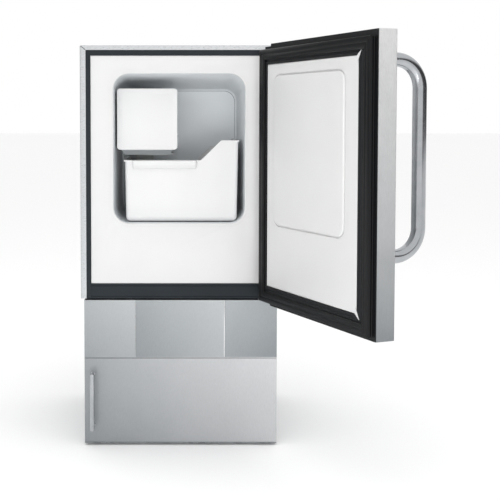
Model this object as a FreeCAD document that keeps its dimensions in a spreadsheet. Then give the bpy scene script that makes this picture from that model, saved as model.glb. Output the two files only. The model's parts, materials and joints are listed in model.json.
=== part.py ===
"""Crescent-cube ice maker with a hinged insulated door, standing on a storage pedestal.

Millimetres, +X to the right, +Y into the depth, +Z up. The origin is on the floor at the middle
of the cabinet's footprint. The main door is drawn closed and then turned open about its pins.
"""
import FreeCAD, Part
import math
import os
import Sketcher

Vector = FreeCAD.Vector

# ---------------------------------------------------------------- driving dimensions

DIMENSIONS = {
    "cabinet_width": 404.4,
    "cabinet_depth": 400,
    "cabinet_bottom": 182,
    "cabinet_top": 813,
    "sheet_steel": 1.2,
    "trim_side": 11.5,
    "trim_top": 9.4,
    "trim_depth": 14,
    "trim_bevel": 2.2,
    "strip_side": 9.8,
    "strip_top": 11.5,
    "sill_bottom": 301.9,
    "sill_top": 332.8,
    "kick_top": 298.6,
    "kick_seam_left": -91,
    "kick_seam_right": 90,
    "liner_recess": 1,
    "liner_sheet": 3,
    "opening_left": -135.8,
    "opening_right": 130.4,
    "opening_bottom": 454,
    "opening_top": 756.6,
    "opening_corner": 30,
    "tub_depth": 226,
    "tub_wall": 2.5,
    "tub_back_left": -129,
    "tub_back_right": 127,
    "tub_back_top": 732.5,
    "tub_back_corner": 26,
    "foam_back": 60,
    "door_half_width": 199,
    "door_bottom": 297.3,
    "door_top": 812.2,
    "door_face": -254.4,
    "door_inner": -218,
    "door_edge_radius": 3,
    "notch_left": 175,
    "notch_depth": 5,
    "hinge_x": 189,
    "hinge_y": -236,
    "hinge_plate": 2.5,
    "hinge_pin_radius": 4,
    "hinge_clearance": 0.06,
    "door_rest_angle": 112.66,
    "gasket_half_width": 197,
    "gasket_bottom": 305.4,
    "gasket_top": 800.5,
    "liner_free_side": -158,
    "liner_hinge_side": 171.5,
    "gasket_inner_bottom": 337,
    "gasket_inner_top": 772,
    "gasket_crest": -201.2,
    "gasket_lip": 21,
    "handle_radius": 12,
    "handle_bend": 47,
    "handle_standoff": 63.5,
    "handle_inset": 28,
    "handle_low": 434,
    "handle_high": 764,
    "pedestal_half_width": 195.5,
    "pedestal_bottom": 4,
    "pedestal_sheet": 1.5,
    "pedestal_shell_front": -178.5,
    "storage_door_thickness": 18,
    "storage_door_gap": 0.6,
    "storage_hinge_x": 188,
    "foot_inset": 165,
    "foot_radius": 14,
    "foot_stem_radius": 4,
    "bin_front": -170,
    "bin_back": 18,
    "bin_wall": 2.4,
    "bin_bottom": 455.7,
    "bin_low_rim": 581.3,
    "bin_high_rim": 621.9,
    "mould_x": -70,
    "mould_z": 640,
    "mould_radius": 43,
    "mould_cavity_radius": 37,
    "mould_front": -112,
    "mould_back": 10,
    "shaft_radius": 5,
    "arm_x": -14,
    "arm_z": 612,
    "arm_wire_radius": 1.6,
    "arm_reach": 42,
    "fan_x": -100,
    "fan_z": 252,
    "fan_radius": 54,
    "compressor_x": 78,
    "compressor_y": 126,
    "compressor_radius": 56,
}

CUBE_CAVITIES = 5
CONDENSER_FINS = 20
FAN_BLADES = 5

document = FreeCAD.newDocument("ice_maker")
sheet = document.addObject("Spreadsheet::Sheet", "Dims")
for row, (alias, number) in enumerate(DIMENSIONS.items(), start=1):
    sheet.set(f"A{row}", alias)
    sheet.set(f"B{row}", str(number))
    sheet.setAlias(f"B{row}", alias)
document.recompute()


class Size:
    """A length with the formula that gives it from the sheet's cells."""

    def __init__(self, value, text):
        self.value = float(value)
        self.text = text

    @staticmethod
    def of(other):
        return other if isinstance(other, Size) else Size(other, f"({other:.6f})")

    def __add__(self, other):
        other = Size.of(other)
        return Size(self.value + other.value, f"({self.text} + {other.text})")

    def __sub__(self, other):
        other = Size.of(other)
        return Size(self.value - other.value, f"({self.text} - {other.text})")

    def __mul__(self, other):
        other = Size.of(other)
        return Size(self.value * other.value, f"({self.text} * {other.text})")

    def __truediv__(self, other):
        other = Size.of(other)
        return Size(self.value / other.value, f"({self.text} / {other.text})")

    def __radd__(self, other):
        return Size.of(other) + self

    def __rsub__(self, other):
        return Size.of(other) - self

    def __rmul__(self, other):
        return Size.of(other) * self

    def __neg__(self):
        return Size(-self.value, f"(-{self.text})")


class Sizes:
    """The sheet's cells by name."""

    def __getattr__(self, alias):
        return Size(sheet.get(alias), f"Dims.{alias}")


D = Sizes()
NODES = []


def bind(item, field, size):
    """Bind a property of a document object to a size."""
    item.setExpression(field, Size.of(size).text)


def node(label, item):
    """Register a finished sub-part under its file name."""
    item.Label = label
    NODES.append(item)
    return item


# ---------------------------------------------------------------- sketches and bodies


def new_body(label):
    body = document.addObject("PartDesign::Body", label)
    return node(label, body)


def new_sketch(body, role, at):
    """A sketch on one of the body's origin planes, moved along that plane's world axis."""
    sketch = body.newObject("Sketcher::SketchObject", f"{body.Name}_sketch")
    plane = next(item for item in body.Origin.OriginFeatures if item.Role == role)
    sketch.AttachmentSupport = [(plane, "")]
    sketch.MapMode = "FlatFace"
    offset = -Size.of(at) if role == "XZ_Plane" else Size.of(at)
    bind(sketch, "AttachmentOffset.Base.z", offset)
    return sketch


def constrain(sketch, kind, *references, size):
    size = Size.of(size)
    index = sketch.addConstraint(Sketcher.Constraint(kind, *references, size.value))
    sketch.setExpression(f"Constraints[{index}]", size.text)


def place_vertex(sketch, geometry, end, x, y):
    constrain(sketch, "DistanceX", -1, 1, geometry, end, size=x)
    constrain(sketch, "DistanceY", -1, 1, geometry, end, size=y)


def polygon(sketch, corners):
    """A closed outline of straight edges through the corners."""
    corners = [(Size.of(x), Size.of(y)) for x, y in corners]
    first = sketch.GeometryCount
    count = len(corners)
    for index, (x, y) in enumerate(corners):
        next_x, next_y = corners[(index + 1) % count]
        start = Vector(x.value, y.value, 0)
        end = Vector(next_x.value, next_y.value, 0)
        sketch.addGeometry(Part.LineSegment(start, end), False)
    for index in range(count):
        following = first + (index + 1) % count
        sketch.addConstraint(Sketcher.Constraint("Coincident", first + index, 2, following, 1))
    for index, (x, y) in enumerate(corners):
        place_vertex(sketch, first + index, 1, x, y)


def rectangle(sketch, x_range, y_range):
    (left, right), (low, high) = x_range, y_range
    polygon(sketch, [(left, low), (right, low), (right, high), (left, high)])


def circle(sketch, x, y, radius):
    x, y, radius = Size.of(x), Size.of(y), Size.of(radius)
    centre = Vector(x.value, y.value, 0)
    index = sketch.addGeometry(Part.Circle(centre, Vector(0, 0, 1), radius.value), False)
    place_vertex(sketch, index, 3, x, y)
    constrain(sketch, "Radius", index, size=radius)


def rounded_rectangle(sketch, x_range, y_range, radius):
    """A rectangle with four equal round corners, drawn counter-clockwise from its lower left."""
    left, right = (Size.of(x) for x in x_range)
    low, high = (Size.of(y) for y in y_range)
    radius = Size.of(radius)
    r = radius.value
    first = sketch.GeometryCount
    straight = [
        ((left.value + r, low.value), (right.value - r, low.value)),
        ((right.value, low.value + r), (right.value, high.value - r)),
        ((right.value - r, high.value), (left.value + r, high.value)),
        ((left.value, high.value - r), (left.value, low.value + r)),
    ]
    centres = [
        (right.value - r, low.value + r),
        (right.value - r, high.value - r),
        (left.value + r, high.value - r),
        (left.value + r, low.value + r),
    ]
    for index in range(4):
        start, end = straight[index]
        sketch.addGeometry(Part.LineSegment(Vector(*start, 0), Vector(*end, 0)), False)
        turn = math.radians(-90 + 90 * index)
        ring = Part.Circle(Vector(*centres[index], 0), Vector(0, 0, 1), r)
        sketch.addGeometry(Part.ArcOfCircle(ring, turn, turn + math.pi / 2), False)
    for index in range(8):
        following = first + (index + 1) % 8
        sketch.addConstraint(Sketcher.Constraint("Tangent", first + index, 2, following, 1))
    sketch.addConstraint(Sketcher.Constraint("Horizontal", first))
    sketch.addConstraint(Sketcher.Constraint("Vertical", first + 2))
    sketch.addConstraint(Sketcher.Constraint("Horizontal", first + 4))
    for arc in (3, 5, 7):
        sketch.addConstraint(Sketcher.Constraint("Equal", first + 1, first + arc))
    constrain(sketch, "Radius", first + 1, size=radius)
    constrain(sketch, "DistanceY", -1, 1, first, 1, size=low)
    constrain(sketch, "DistanceX", -1, 1, first + 2, 1, size=right)
    constrain(sketch, "DistanceY", -1, 1, first + 4, 1, size=high)
    constrain(sketch, "DistanceX", -1, 1, first + 6, 1, size=left)


def add_slab(body, role, low, high, draw):
    """Pad a drawing from low to high along the world axis that its plane is square to."""
    sketch = new_sketch(body, role, low)
    draw(sketch)
    feature = body.newObject("PartDesign::Pad", f"{body.Name}_pad")
    feature.Profile = (sketch, [""])
    feature.Reversed = role == "XZ_Plane"
    bind(feature, "Length", Size.of(high) - low)
    return feature


def cut_slab(body, role, low, high, draw):
    """Pocket a drawing out of the body from low to high along its world axis."""
    sketch = new_sketch(body, role, low)
    draw(sketch)
    feature = body.newObject("PartDesign::Pocket", f"{body.Name}_pocket")
    feature.Profile = (sketch, [""])
    feature.Reversed = role != "XZ_Plane"
    bind(feature, "Length", Size.of(high) - low)
    return feature


def loft_slab(body, low, high, draw_low, draw_high, subtract=False):
    """Loft between two drawings on planes square to Y."""
    start = new_sketch(body, "XZ_Plane", low)
    draw_low(start)
    end = new_sketch(body, "XZ_Plane", high)
    draw_high(end)
    kind = "PartDesign::SubtractiveLoft" if subtract else "PartDesign::AdditiveLoft"
    feature = body.newObject(kind, f"{body.Name}_loft")
    feature.Profile = (start, [""])
    feature.Sections = [(end, [""])]
    feature.Ruled = True
    return feature


def dress_edges(body, kind, size, wanted):
    """Fillet or chamfer the edges of the body's tip for which wanted(edge box) is true."""
    document.recompute()
    base = body.Tip
    names = []
    for index, edge in enumerate(base.Shape.Edges, start=1):
        if wanted(edge.BoundBox):
            names.append(f"Edge{index}")
    feature = body.newObject(f"PartDesign::{kind}", f"{body.Name}_{kind.lower()}")
    feature.Base = (base, names)
    bind(feature, "Radius" if kind == "Fillet" else "Size", size)
    document.recompute()
    return feature


def near(value, target):
    return abs(value - Size.of(target).value) < 0.01


def flat_at_y(box, y):
    return near(box.YMin, y) and near(box.YMax, y)


# ---------------------------------------------------------------- solids from primitives


def box(name, x, y, z):
    """A block between the low and high sizes on each axis."""
    block = document.addObject("Part::Box", name)
    for field, (low, high) in zip(("Length", "Width", "Height"), (x, y, z)):
        bind(block, field, Size.of(high) - low)
    for field, (low, _high) in zip("xyz", (x, y, z)):
        bind(block, f"Placement.Base.{field}", low)
    return block


TURNS = {
    "X": FreeCAD.Rotation(Vector(0, 1, 0), 90),
    "Y": FreeCAD.Rotation(Vector(1, 0, 0), -90),
    "Z": FreeCAD.Rotation(),
}


def cylinder(name, axis, start, length, radius):
    """A cylinder that starts at a point and runs along the positive X, Y or Z axis."""
    rod = document.addObject("Part::Cylinder", name)
    rod.Placement = FreeCAD.Placement(Vector(), TURNS[axis])
    bind(rod, "Radius", radius)
    bind(rod, "Height", length)
    for field, size in zip("xyz", start):
        bind(rod, f"Placement.Base.{field}", size)
    return rod


def cut(name, base, tools):
    result = document.addObject("Part::Cut", name)
    result.Base = base
    result.Tool = tools[0] if len(tools) == 1 else fuse(f"{name}_tools", tools)
    return result


def fuse(name, shapes):
    result = document.addObject("Part::MultiFuse", name)
    result.Shapes = shapes
    return result


def group(name, shapes):
    result = document.addObject("Part::Compound", name)
    result.Links = shapes
    return result


def tube_solid(points, radius, bend):
    """A round bar along straight runs joined by tangent arcs of one bend radius."""
    points = [Vector(*point) for point in points]
    edges = []
    start = points[0]
    for before, corner, after in zip(points, points[1:], points[2:]):
        arriving = (corner - before).normalize()
        leaving = (after - corner).normalize()
        turn = arriving.getAngle(leaving)
        setback = bend * math.tan(turn / 2)
        arc_start = corner - arriving * setback
        arc_end = corner + leaving * setback
        inward = (leaving - arriving).normalize()
        centre = corner + inward * (bend / math.cos(turn / 2))
        middle = centre - inward * bend
        edges.append(Part.LineSegment(start, arc_start).toShape())
        edges.append(Part.Arc(arc_start, middle, arc_end).toShape())
        start = arc_end
    edges.append(Part.LineSegment(start, points[-1]).toShape())
    path = Part.Wire(edges)
    heading = (points[1] - points[0]).normalize()
    section = Part.Wire([Part.Circle(points[0], heading, radius).toShape()])
    return path.makePipeShell([section], True, False)


def feature(name, shape):
    """An object that holds a shape made with Part's own functions."""
    item = document.addObject("Part::Feature", name)
    item.Shape = shape
    return item


# ---------------------------------------------------------------- shared positions

half_width = D.cabinet_width / 2
front = -D.cabinet_depth / 2
back = D.cabinet_depth / 2
trim_back = front + D.trim_depth
trim_inner = half_width - D.trim_side
trim_inner_top = D.cabinet_top - D.trim_top
strip_inner = trim_inner - D.strip_side
strip_inner_top = trim_inner_top - D.strip_top
liner_front = front + D.liner_recess
tub_front = liner_front + D.liner_sheet
tub_floor_back = tub_front + D.tub_depth
shell_inner = half_width - D.sheet_steel
base_half = D.pedestal_half_width
base_inner = base_half - D.sheet_steel
pan_top = D.cabinet_bottom + D.sheet_steel
rear_face = back - D.sheet_steel


def u_frame(outer, outer_top, inner, inner_top, low):
    """Corners of an upside-down U: two legs and a head."""
    return [
        (-outer, low), (-outer, outer_top), (outer, outer_top), (outer, low),
        (inner, low), (inner, inner_top), (-inner, inner_top), (-inner, low),
    ]


# ---------------------------------------------------------------- cabinet casing


def make_cabinet_shell():
    """Steel wrapper of the sides and top, stepped in along the machine compartment."""
    body = new_body("cabinet_shell")
    inner_top = D.cabinet_top - D.sheet_steel
    shelf = D.sill_bottom
    shelf_top = shelf + D.sheet_steel
    right_side = [
        (half_width, D.cabinet_top), (half_width, shelf), (base_half, shelf),
        (base_half, D.cabinet_bottom), (base_inner, D.cabinet_bottom), (base_inner, shelf_top),
        (shell_inner, shelf_top), (shell_inner, inner_top),
    ]
    left_side = [(-x, z) for x, z in reversed(right_side)]
    add_slab(body, "XZ_Plane", trim_back, back, lambda s: polygon(s, right_side + left_side))


def make_front_trim():
    """Metal trim round the sides and top of the front, bevelled along its outer edge."""
    body = new_body("front_trim")
    corners = u_frame(half_width, D.cabinet_top, trim_inner, trim_inner_top, D.sill_bottom)
    add_slab(body, "XZ_Plane", front, trim_back, lambda s: polygon(s, corners))
    low = D.sill_bottom.value

    def outer_front(edge):
        leg = abs(abs(edge.XMin) - half_width.value) < 0.01 and near(edge.XMax, edge.XMin)
        head = near(edge.ZMin, D.cabinet_top) and near(edge.ZMax, D.cabinet_top)
        return flat_at_y(edge, front) and (leg or head) and edge.ZMax > low + 1

    dress_edges(body, "Chamfer", D.trim_bevel, outer_front)


def make_breaker_strips():
    """Black thermal-break strips between the metal trim and the white liner."""
    body = new_body("breaker_strips")
    corners = u_frame(trim_inner, trim_inner_top, strip_inner, strip_inner_top, D.sill_bottom)
    add_slab(body, "XZ_Plane", front, trim_back, lambda s: polygon(s, corners))


def make_front_sill():
    body = new_body("front_sill")
    span = (-strip_inner, strip_inner)
    height = (D.sill_bottom, D.sill_top)
    add_slab(body, "XZ_Plane", front, trim_back, lambda s: rectangle(s, span, height))
    dress_edges(body, "Fillet", 1.0, lambda e: flat_at_y(e, front) and e.XLength > 100)


def opening_outline(margin):
    """Draws the compartment's mouth, grown by a margin."""
    return lambda sketch: rounded_rectangle(
        sketch,
        (D.opening_left - margin, D.opening_right + margin),
        (D.opening_bottom - margin, D.opening_top + margin),
        D.opening_corner + margin,
    )


def tub_back_outline(margin):
    """Draws the compartment's back wall, grown by a margin."""
    return lambda sketch: rounded_rectangle(
        sketch,
        (D.tub_back_left - margin, D.tub_back_right + margin),
        (D.opening_bottom - margin, D.tub_back_top + margin),
        D.tub_back_corner + margin,
    )


FILL_X = D.mould_x
FILL_Z = D.mould_z + 52


def make_liner_face():
    """White face with the compartment's rounded mouth and a soft rim."""
    body = new_body("liner_face")
    span = (-strip_inner, strip_inner)
    height = (D.sill_top, strip_inner_top)
    add_slab(body, "XZ_Plane", liner_front, tub_front, lambda s: rectangle(s, span, height))
    cut_slab(body, "XZ_Plane", liner_front, tub_front, opening_outline(0))

    def mouth_rim(edge):
        inside = edge.XMin > -150 and edge.XMax < 150
        return flat_at_y(edge, liner_front) and inside

    dress_edges(body, "Fillet", 2.4, mouth_rim)


def make_tub():
    """Light grey moulded compartment: four tapering walls and a back."""
    body = new_body("ice_compartment_tub")
    wall = D.tub_wall
    outer_back = tub_floor_back + wall
    loft_slab(body, tub_front, outer_back, opening_outline(wall), tub_back_outline(wall))
    loft_slab(body, tub_front, tub_floor_back, opening_outline(0), tub_back_outline(0), True)
    cut_slab(body, "XZ_Plane", tub_floor_back - 1, outer_back + 1,
             lambda s: circle(s, FILL_X, FILL_Z, 7))


EVAPORATOR_HALF = 105
EVAPORATOR_LOW = 478
EVAPORATOR_HIGH = 664


def make_cabinet_foam():
    """Foamed insulation round the compartment, behind the trim and under the top."""
    body = new_body("cabinet_foam")
    wall = D.tub_wall
    outer_back = tub_floor_back + wall
    block = ((-shell_inner, shell_inner), (D.sill_top + 1.2, D.cabinet_top - D.sheet_steel))
    add_slab(body, "XZ_Plane", trim_back, D.foam_back, lambda s: rectangle(s, *block))
    step = ((-strip_inner, strip_inner), (D.sill_top + 1.2, strip_inner_top))
    add_slab(body, "XZ_Plane", tub_front, trim_back + 1, lambda s: rectangle(s, *step))
    loft_slab(body, tub_front, outer_back, opening_outline(wall), tub_back_outline(wall), True)
    pocket = ((-EVAPORATOR_HALF - 6, EVAPORATOR_HALF + 6), (EVAPORATOR_LOW - 6, EVAPORATOR_HIGH + 6))
    cut_slab(body, "XZ_Plane", outer_back - 1, outer_back + 16, lambda s: rectangle(s, *pocket))
    cut_slab(body, "XZ_Plane", outer_back - 1, D.foam_back + 1,
             lambda s: circle(s, FILL_X, FILL_Z, 7))


def make_base_pan():
    """Shallow steel tray under the machine compartment."""
    body = new_body("base_pan")
    span = (-base_inner + 0.2, base_inner - 0.2)
    depth = (front + 1.6, rear_face - 0.4)
    lip = 12
    add_slab(body, "XY_Plane", D.cabinet_bottom, D.cabinet_bottom + lip,
             lambda s: rectangle(s, span, depth))
    inner_span = (span[0] + D.sheet_steel, span[1] - D.sheet_steel)
    inner_depth = (depth[0] + D.sheet_steel, depth[1] - D.sheet_steel)
    cut_slab(body, "XY_Plane", pan_top, D.cabinet_bottom + lip + 1,
             lambda s: rectangle(s, inner_span, inner_depth))


def make_kick_panel(label, left, right, side):
    """A satin panel with a return along its top, and one on its outer side if it has one."""
    body = new_body(label)
    skin_back = front + D.sheet_steel
    profile = [
        (front, D.cabinet_bottom), (skin_back, D.cabinet_bottom),
        (skin_back, D.kick_top - D.sheet_steel), (trim_back, D.kick_top - D.sheet_steel),
        (trim_back, D.kick_top), (front, D.kick_top),
    ]
    add_slab(body, "YZ_Plane", left, right, lambda s: polygon(s, profile))
    if side:
        edge = left if side == "left" else right - D.sheet_steel
        height = (D.cabinet_bottom + 0.2, D.kick_top - 0.4)
        add_slab(body, "YZ_Plane", edge, edge + D.sheet_steel,
                 lambda s: rectangle(s, (front + 0.4, trim_back - 0.1), height))


REAR_SCREWS = [(side * 188, height) for side in (-1, 1) for height in (215, 400, 600, 790)]
REAR_SCREW_HOLE = 2.1
GLAND = (150, 222)
GLAND_RADIUS = 9
VALVE = (-145, 235)
VALVE_HOLE = 14
LOUVRE_HALF_LENGTH = 52
LOUVRE_BOTTOM = 262
LOUVRE_HEIGHT = 5
LOUVRE_ROWS = 9
LOUVRE_PITCH = 13


def make_rear_panel():
    """Rear sheet with two banks of air slots, screw holes, a cord gland hole and a valve hole."""
    body = new_body("rear_panel")
    side = shell_inner - 0.1
    low_side = base_inner - 0.1
    step = D.sill_bottom + D.sheet_steel + 0.1
    top = D.cabinet_top - D.sheet_steel - 0.1
    bottom = D.cabinet_bottom + 0.1
    add_slab(body, "XZ_Plane", rear_face, back, lambda s: polygon(s, [
        (-low_side, bottom), (low_side, bottom), (low_side, step), (side, step), (side, top),
        (-side, top), (-side, step), (-low_side, step),
    ]))

    def holes(sketch):
        for x, z in REAR_SCREWS:
            circle(sketch, x, z, REAR_SCREW_HOLE)
        circle(sketch, *GLAND, GLAND_RADIUS)
        circle(sketch, *VALVE, VALVE_HOLE)

    cut_slab(body, "XZ_Plane", rear_face - 1, back + 1, holes)

    def slots(sketch):
        for middle in (-70, 70):
            span = (middle - LOUVRE_HALF_LENGTH, middle + LOUVRE_HALF_LENGTH)
            height = (LOUVRE_BOTTOM, LOUVRE_BOTTOM + LOUVRE_HEIGHT)
            rounded_rectangle(sketch, span, height, LOUVRE_HEIGHT / 2 - 0.1)

    row = cut_slab(body, "XZ_Plane", rear_face - 1, back + 1, slots)
    bank = body.newObject("PartDesign::LinearPattern", "louvre_bank")
    bank.Originals = [row]
    bank.Direction = (row.Profile[0], ["V_Axis"])
    bank.Length = LOUVRE_PITCH * (LOUVRE_ROWS - 1)
    bank.Occurrences = LOUVRE_ROWS
    body.Tip = bank


def make_rear_screws():
    """Pan-head screws that hold the rear panel, as one group."""
    screws = []
    for index, (x, z) in enumerate(REAR_SCREWS):
        shank = cylinder(f"rear_shank_{index}", "Y", (x, back - 8, z), 8.2, 2)
        head = cylinder(f"rear_head_{index}", "Y", (x, back, z), 1.8, 4)
        screws.append(fuse(f"rear_screw_{index}", [shank, head]))
    node("rear_panel_screws", group("rear_panel_screws", screws))


# ---------------------------------------------------------------- hinges of the main door

upper_plate_low = D.cabinet_top - 4
lower_plate_low = D.kick_top + 0.4
notch_floor_top = D.door_top - D.notch_depth
notch_floor_bottom = D.door_bottom + D.notch_depth
plate_half = 10


def hinge_plate(label, low, reach_back, leaf):
    """A flat hinge plate with a round nose about the pin, and a screw leaf if it has one."""
    high = low + D.hinge_plate
    length = reach_back - D.hinge_y
    strap = box(f"{label}_strap", (D.hinge_x - plate_half, D.hinge_x + plate_half),
                (D.hinge_y, D.hinge_y + length), (low, high))
    nose = cylinder(f"{label}_nose", "Z", (D.hinge_x, D.hinge_y, low), D.hinge_plate, plate_half)
    parts = [strap, nose]
    if leaf:
        parts.append(box(f"{label}_leaf", (D.hinge_x - plate_half, D.hinge_x + plate_half),
                         (front - 2, front), (leaf, high)))
    hole = cylinder(f"{label}_hole", "Z", (D.hinge_x, D.hinge_y, low - 1),
                    D.hinge_plate + 2, D.hinge_pin_radius)
    node(label, cut(label, fuse(f"{label}_plate", parts), [hole]))


def make_hinge_plates():
    hinge_plate("upper_hinge_plate", upper_plate_low, front, trim_inner_top + 0.4)
    hinge_plate("lower_hinge_plate", lower_plate_low, trim_back, None)


# ---------------------------------------------------------------- main door


def door_outline(inset):
    """Corners of the door with its two notches at the hinge side, drawn in by an inset."""
    side = D.door_half_width - inset
    top = D.door_top - inset
    bottom = D.door_bottom + inset
    notch = D.notch_left - inset
    notch_top = notch_floor_top - inset
    notch_bottom = notch_floor_bottom + inset
    return [
        (-side, bottom), (notch, bottom), (notch, notch_bottom), (side, notch_bottom),
        (side, notch_top), (notch, notch_top), (notch, top), (-side, top),
    ]


DOOR_SKIN = 1.0
BUSH_RADIUS = 7
BUSH_LENGTH = 12


def bush_hole(sketch):
    circle(sketch, D.hinge_x, D.hinge_y, BUSH_RADIUS)


HANDLE_SCREW_RADIUS = 3
handle_x = -D.door_half_width + D.handle_inset


def handle_screw_holes(radius):
    def draw(sketch):
        circle(sketch, handle_x, D.handle_low, radius)
        circle(sketch, handle_x, D.handle_high, radius)
    return draw


def make_door_skin():
    """Folded steel pan: outer face and four edges, with bush holes and handle screw holes."""
    body = new_body("door_skin")
    add_slab(body, "XZ_Plane", D.door_face, D.door_inner, lambda s: polygon(s, door_outline(0)))

    def long_front_edge(edge):
        return flat_at_y(edge, D.door_face) and (edge.XLength > 300 or edge.ZLength > 450)

    dress_edges(body, "Fillet", D.door_edge_radius, long_front_edge)
    cut_slab(body, "XZ_Plane", D.door_face + DOOR_SKIN, D.door_inner + 1,
             lambda s: polygon(s, door_outline(DOOR_SKIN)))
    cut_slab(body, "XY_Plane", notch_floor_top - 2, notch_floor_top + 1, bush_hole)
    cut_slab(body, "XY_Plane", notch_floor_bottom - 1, notch_floor_bottom + 2, bush_hole)
    cut_slab(body, "XZ_Plane", D.door_face - 1, D.door_face + 2,
             handle_screw_holes(HANDLE_SCREW_RADIUS))
    return body


def make_door_foam():
    body = new_body("door_foam")
    add_slab(body, "XZ_Plane", D.door_face + 3.2, D.door_inner,
             lambda s: polygon(s, door_outline(DOOR_SKIN)))
    top = notch_floor_top
    bottom = notch_floor_bottom
    cut_slab(body, "XY_Plane", top - BUSH_LENGTH - 1, top + 1, bush_hole)
    cut_slab(body, "XY_Plane", bottom - 1, bottom + BUSH_LENGTH + 1, bush_hole)
    cut_slab(body, "XZ_Plane", D.door_face + 3, D.door_face + 14, handle_screw_holes(8))
    return body


def make_door_hinge_bushes():
    """Two flanged nylon bushes, bored to run on the hinge pins."""
    bushes = []
    bore_radius = D.hinge_pin_radius + D.hinge_clearance
    flange = 0.6
    for name, low, flange_low in (
        ("upper_bush", notch_floor_top - BUSH_LENGTH, notch_floor_top),
        ("lower_bush", notch_floor_bottom, notch_floor_bottom - flange),
    ):
        sleeve = cylinder(f"{name}_sleeve", "Z", (D.hinge_x, D.hinge_y, low), BUSH_LENGTH, BUSH_RADIUS)
        collar = cylinder(f"{name}_collar", "Z", (D.hinge_x, D.hinge_y, flange_low), flange, 9)
        bore = cylinder(f"{name}_bore", "Z", (D.hinge_x, D.hinge_y, low - 5), BUSH_LENGTH + 10,
                        bore_radius)
        bushes.append(cut(name, fuse(f"{name}_solid", [sleeve, collar]), [bore]))
    return node("door_hinge_bushes", group("door_hinge_bushes", bushes))


def frame_outline(outer, outer_z, inner, inner_z):
    """Draws a rectangular ring between two spans; the inner outline's corners are round."""
    def draw(sketch):
        rectangle(sketch, outer, outer_z)
        rounded_rectangle(sketch, inner, inner_z, 4)
    return draw


gasket_x = (-D.gasket_half_width, D.gasket_half_width)
gasket_inner_x = (D.liner_free_side, D.liner_hinge_side)
gasket_z = (D.gasket_bottom, D.gasket_top)
gasket_inner_z = (D.gasket_inner_bottom, D.gasket_inner_top)
retainer_x = (-D.gasket_half_width + 7, D.gasket_half_width - 7)
retainer_z = (D.gasket_bottom + 7, D.gasket_top - 7)
retainer_front = D.gasket_crest - 4


FRAME_FLANGE = 2


def make_gasket_retainer():
    """Black frame that covers the foam out to the pan's edge and holds the gasket."""
    body = new_body("gasket_retainer")
    add_slab(body, "XZ_Plane", D.door_inner, D.door_inner + FRAME_FLANGE,
             lambda s: (polygon(s, door_outline(0.3)),
                        rounded_rectangle(s, gasket_inner_x, gasket_inner_z, 4)))
    add_slab(body, "XZ_Plane", D.door_inner + FRAME_FLANGE - 0.5, retainer_front,
             frame_outline(retainer_x, retainer_z, gasket_inner_x, gasket_inner_z))
    return body


def make_door_gasket():
    """Black magnetic seal: a lip over the retainer and a grooved skirt round its outside."""
    body = new_body("door_gasket")
    lip_x = (-D.gasket_half_width + D.gasket_lip, D.gasket_half_width - D.gasket_lip)
    lip_z = (D.gasket_bottom + D.gasket_lip - 2, D.gasket_top - D.gasket_lip + 2)
    add_slab(body, "XZ_Plane", retainer_front, D.gasket_crest,
             frame_outline(gasket_x, gasket_z, lip_x, lip_z))
    add_slab(body, "XZ_Plane", D.door_inner + FRAME_FLANGE, retainer_front + 0.5,
             lambda s: (rectangle(s, gasket_x, gasket_z), rectangle(s, retainer_x, retainer_z)))
    for low in (D.door_inner + FRAME_FLANGE + 2, D.door_inner + FRAME_FLANGE + 6):
        groove = 1.6
        inner = D.gasket_half_width - groove
        inner_z = (D.gasket_bottom + groove, D.gasket_top - groove)
        beyond = D.gasket_half_width + 2
        beyond_z = (D.gasket_bottom - 2, D.gasket_top + 2)
        cut_slab(body, "XZ_Plane", low, low + 2,
                 lambda s: (rectangle(s, (-beyond, beyond), beyond_z),
                            rectangle(s, (-inner, inner), inner_z)))
    return body


def make_door_liner():
    """White moulded liner: a raised field inside the gasket with an embossed panel on it."""
    body = new_body("door_liner")
    gap = 0.4
    sheet_wall = 2.5
    span = (D.liner_free_side + gap, D.liner_hinge_side - gap)
    height = (D.gasket_inner_bottom + gap, D.gasket_inner_top - gap)
    add_slab(body, "XZ_Plane", D.door_inner, D.door_inner + 12,
             lambda s: rounded_rectangle(s, span, height, 4))
    cut_slab(body, "XZ_Plane", D.door_inner - 0.5, D.door_inner + 9.5,
             lambda s: rounded_rectangle(s, (span[0] + sheet_wall, span[1] - sheet_wall),
                                         (height[0] + sheet_wall, height[1] - sheet_wall), 3))
    add_slab(body, "XZ_Plane", D.door_inner + 11.5, D.door_inner + 14.5,
             lambda s: rounded_rectangle(s, (-115, 140), (462, 748), 20))
    dress_edges(body, "Fillet", 2.0, lambda e: flat_at_y(e, D.door_inner + 14.5))
    return body


def make_door_handle():
    """Round bar bent at both ends, its feet flat on the door face and tapped for screws."""
    face = D.door_face.value
    bar_y = (D.door_face - D.handle_standoff).value
    x = handle_x.value
    low = D.handle_low.value
    high = D.handle_high.value
    route = [(x, face, low), (x, bar_y, low), (x, bar_y, high), (x, face, high)]
    bar = tube_solid(route, D.handle_radius.value, D.handle_bend.value)
    depth = 14
    for z in (low, high):
        bore = Part.makeCylinder(HANDLE_SCREW_RADIUS, depth, Vector(x, face - depth, z),
                                 Vector(0, 1, 0))
        bar = bar.cut(bore)
    return node("door_handle", feature("door_handle", bar))


def make_handle_screws():
    """Two screws from inside the pan into the handle's feet."""
    screws = []
    for name, z in (("low", D.handle_low), ("high", D.handle_high)):
        shank = cylinder(f"handle_shank_{name}", "Y", (handle_x, D.door_face - 12, z), 13.5, 2.9)
        head = cylinder(f"handle_head_{name}", "Y", (handle_x, D.door_face + 1, z), 4, 5.5)
        screws.append(fuse(f"handle_screw_{name}", [shank, head]))
    return node("handle_screws", group("handle_screws", screws))


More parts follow.
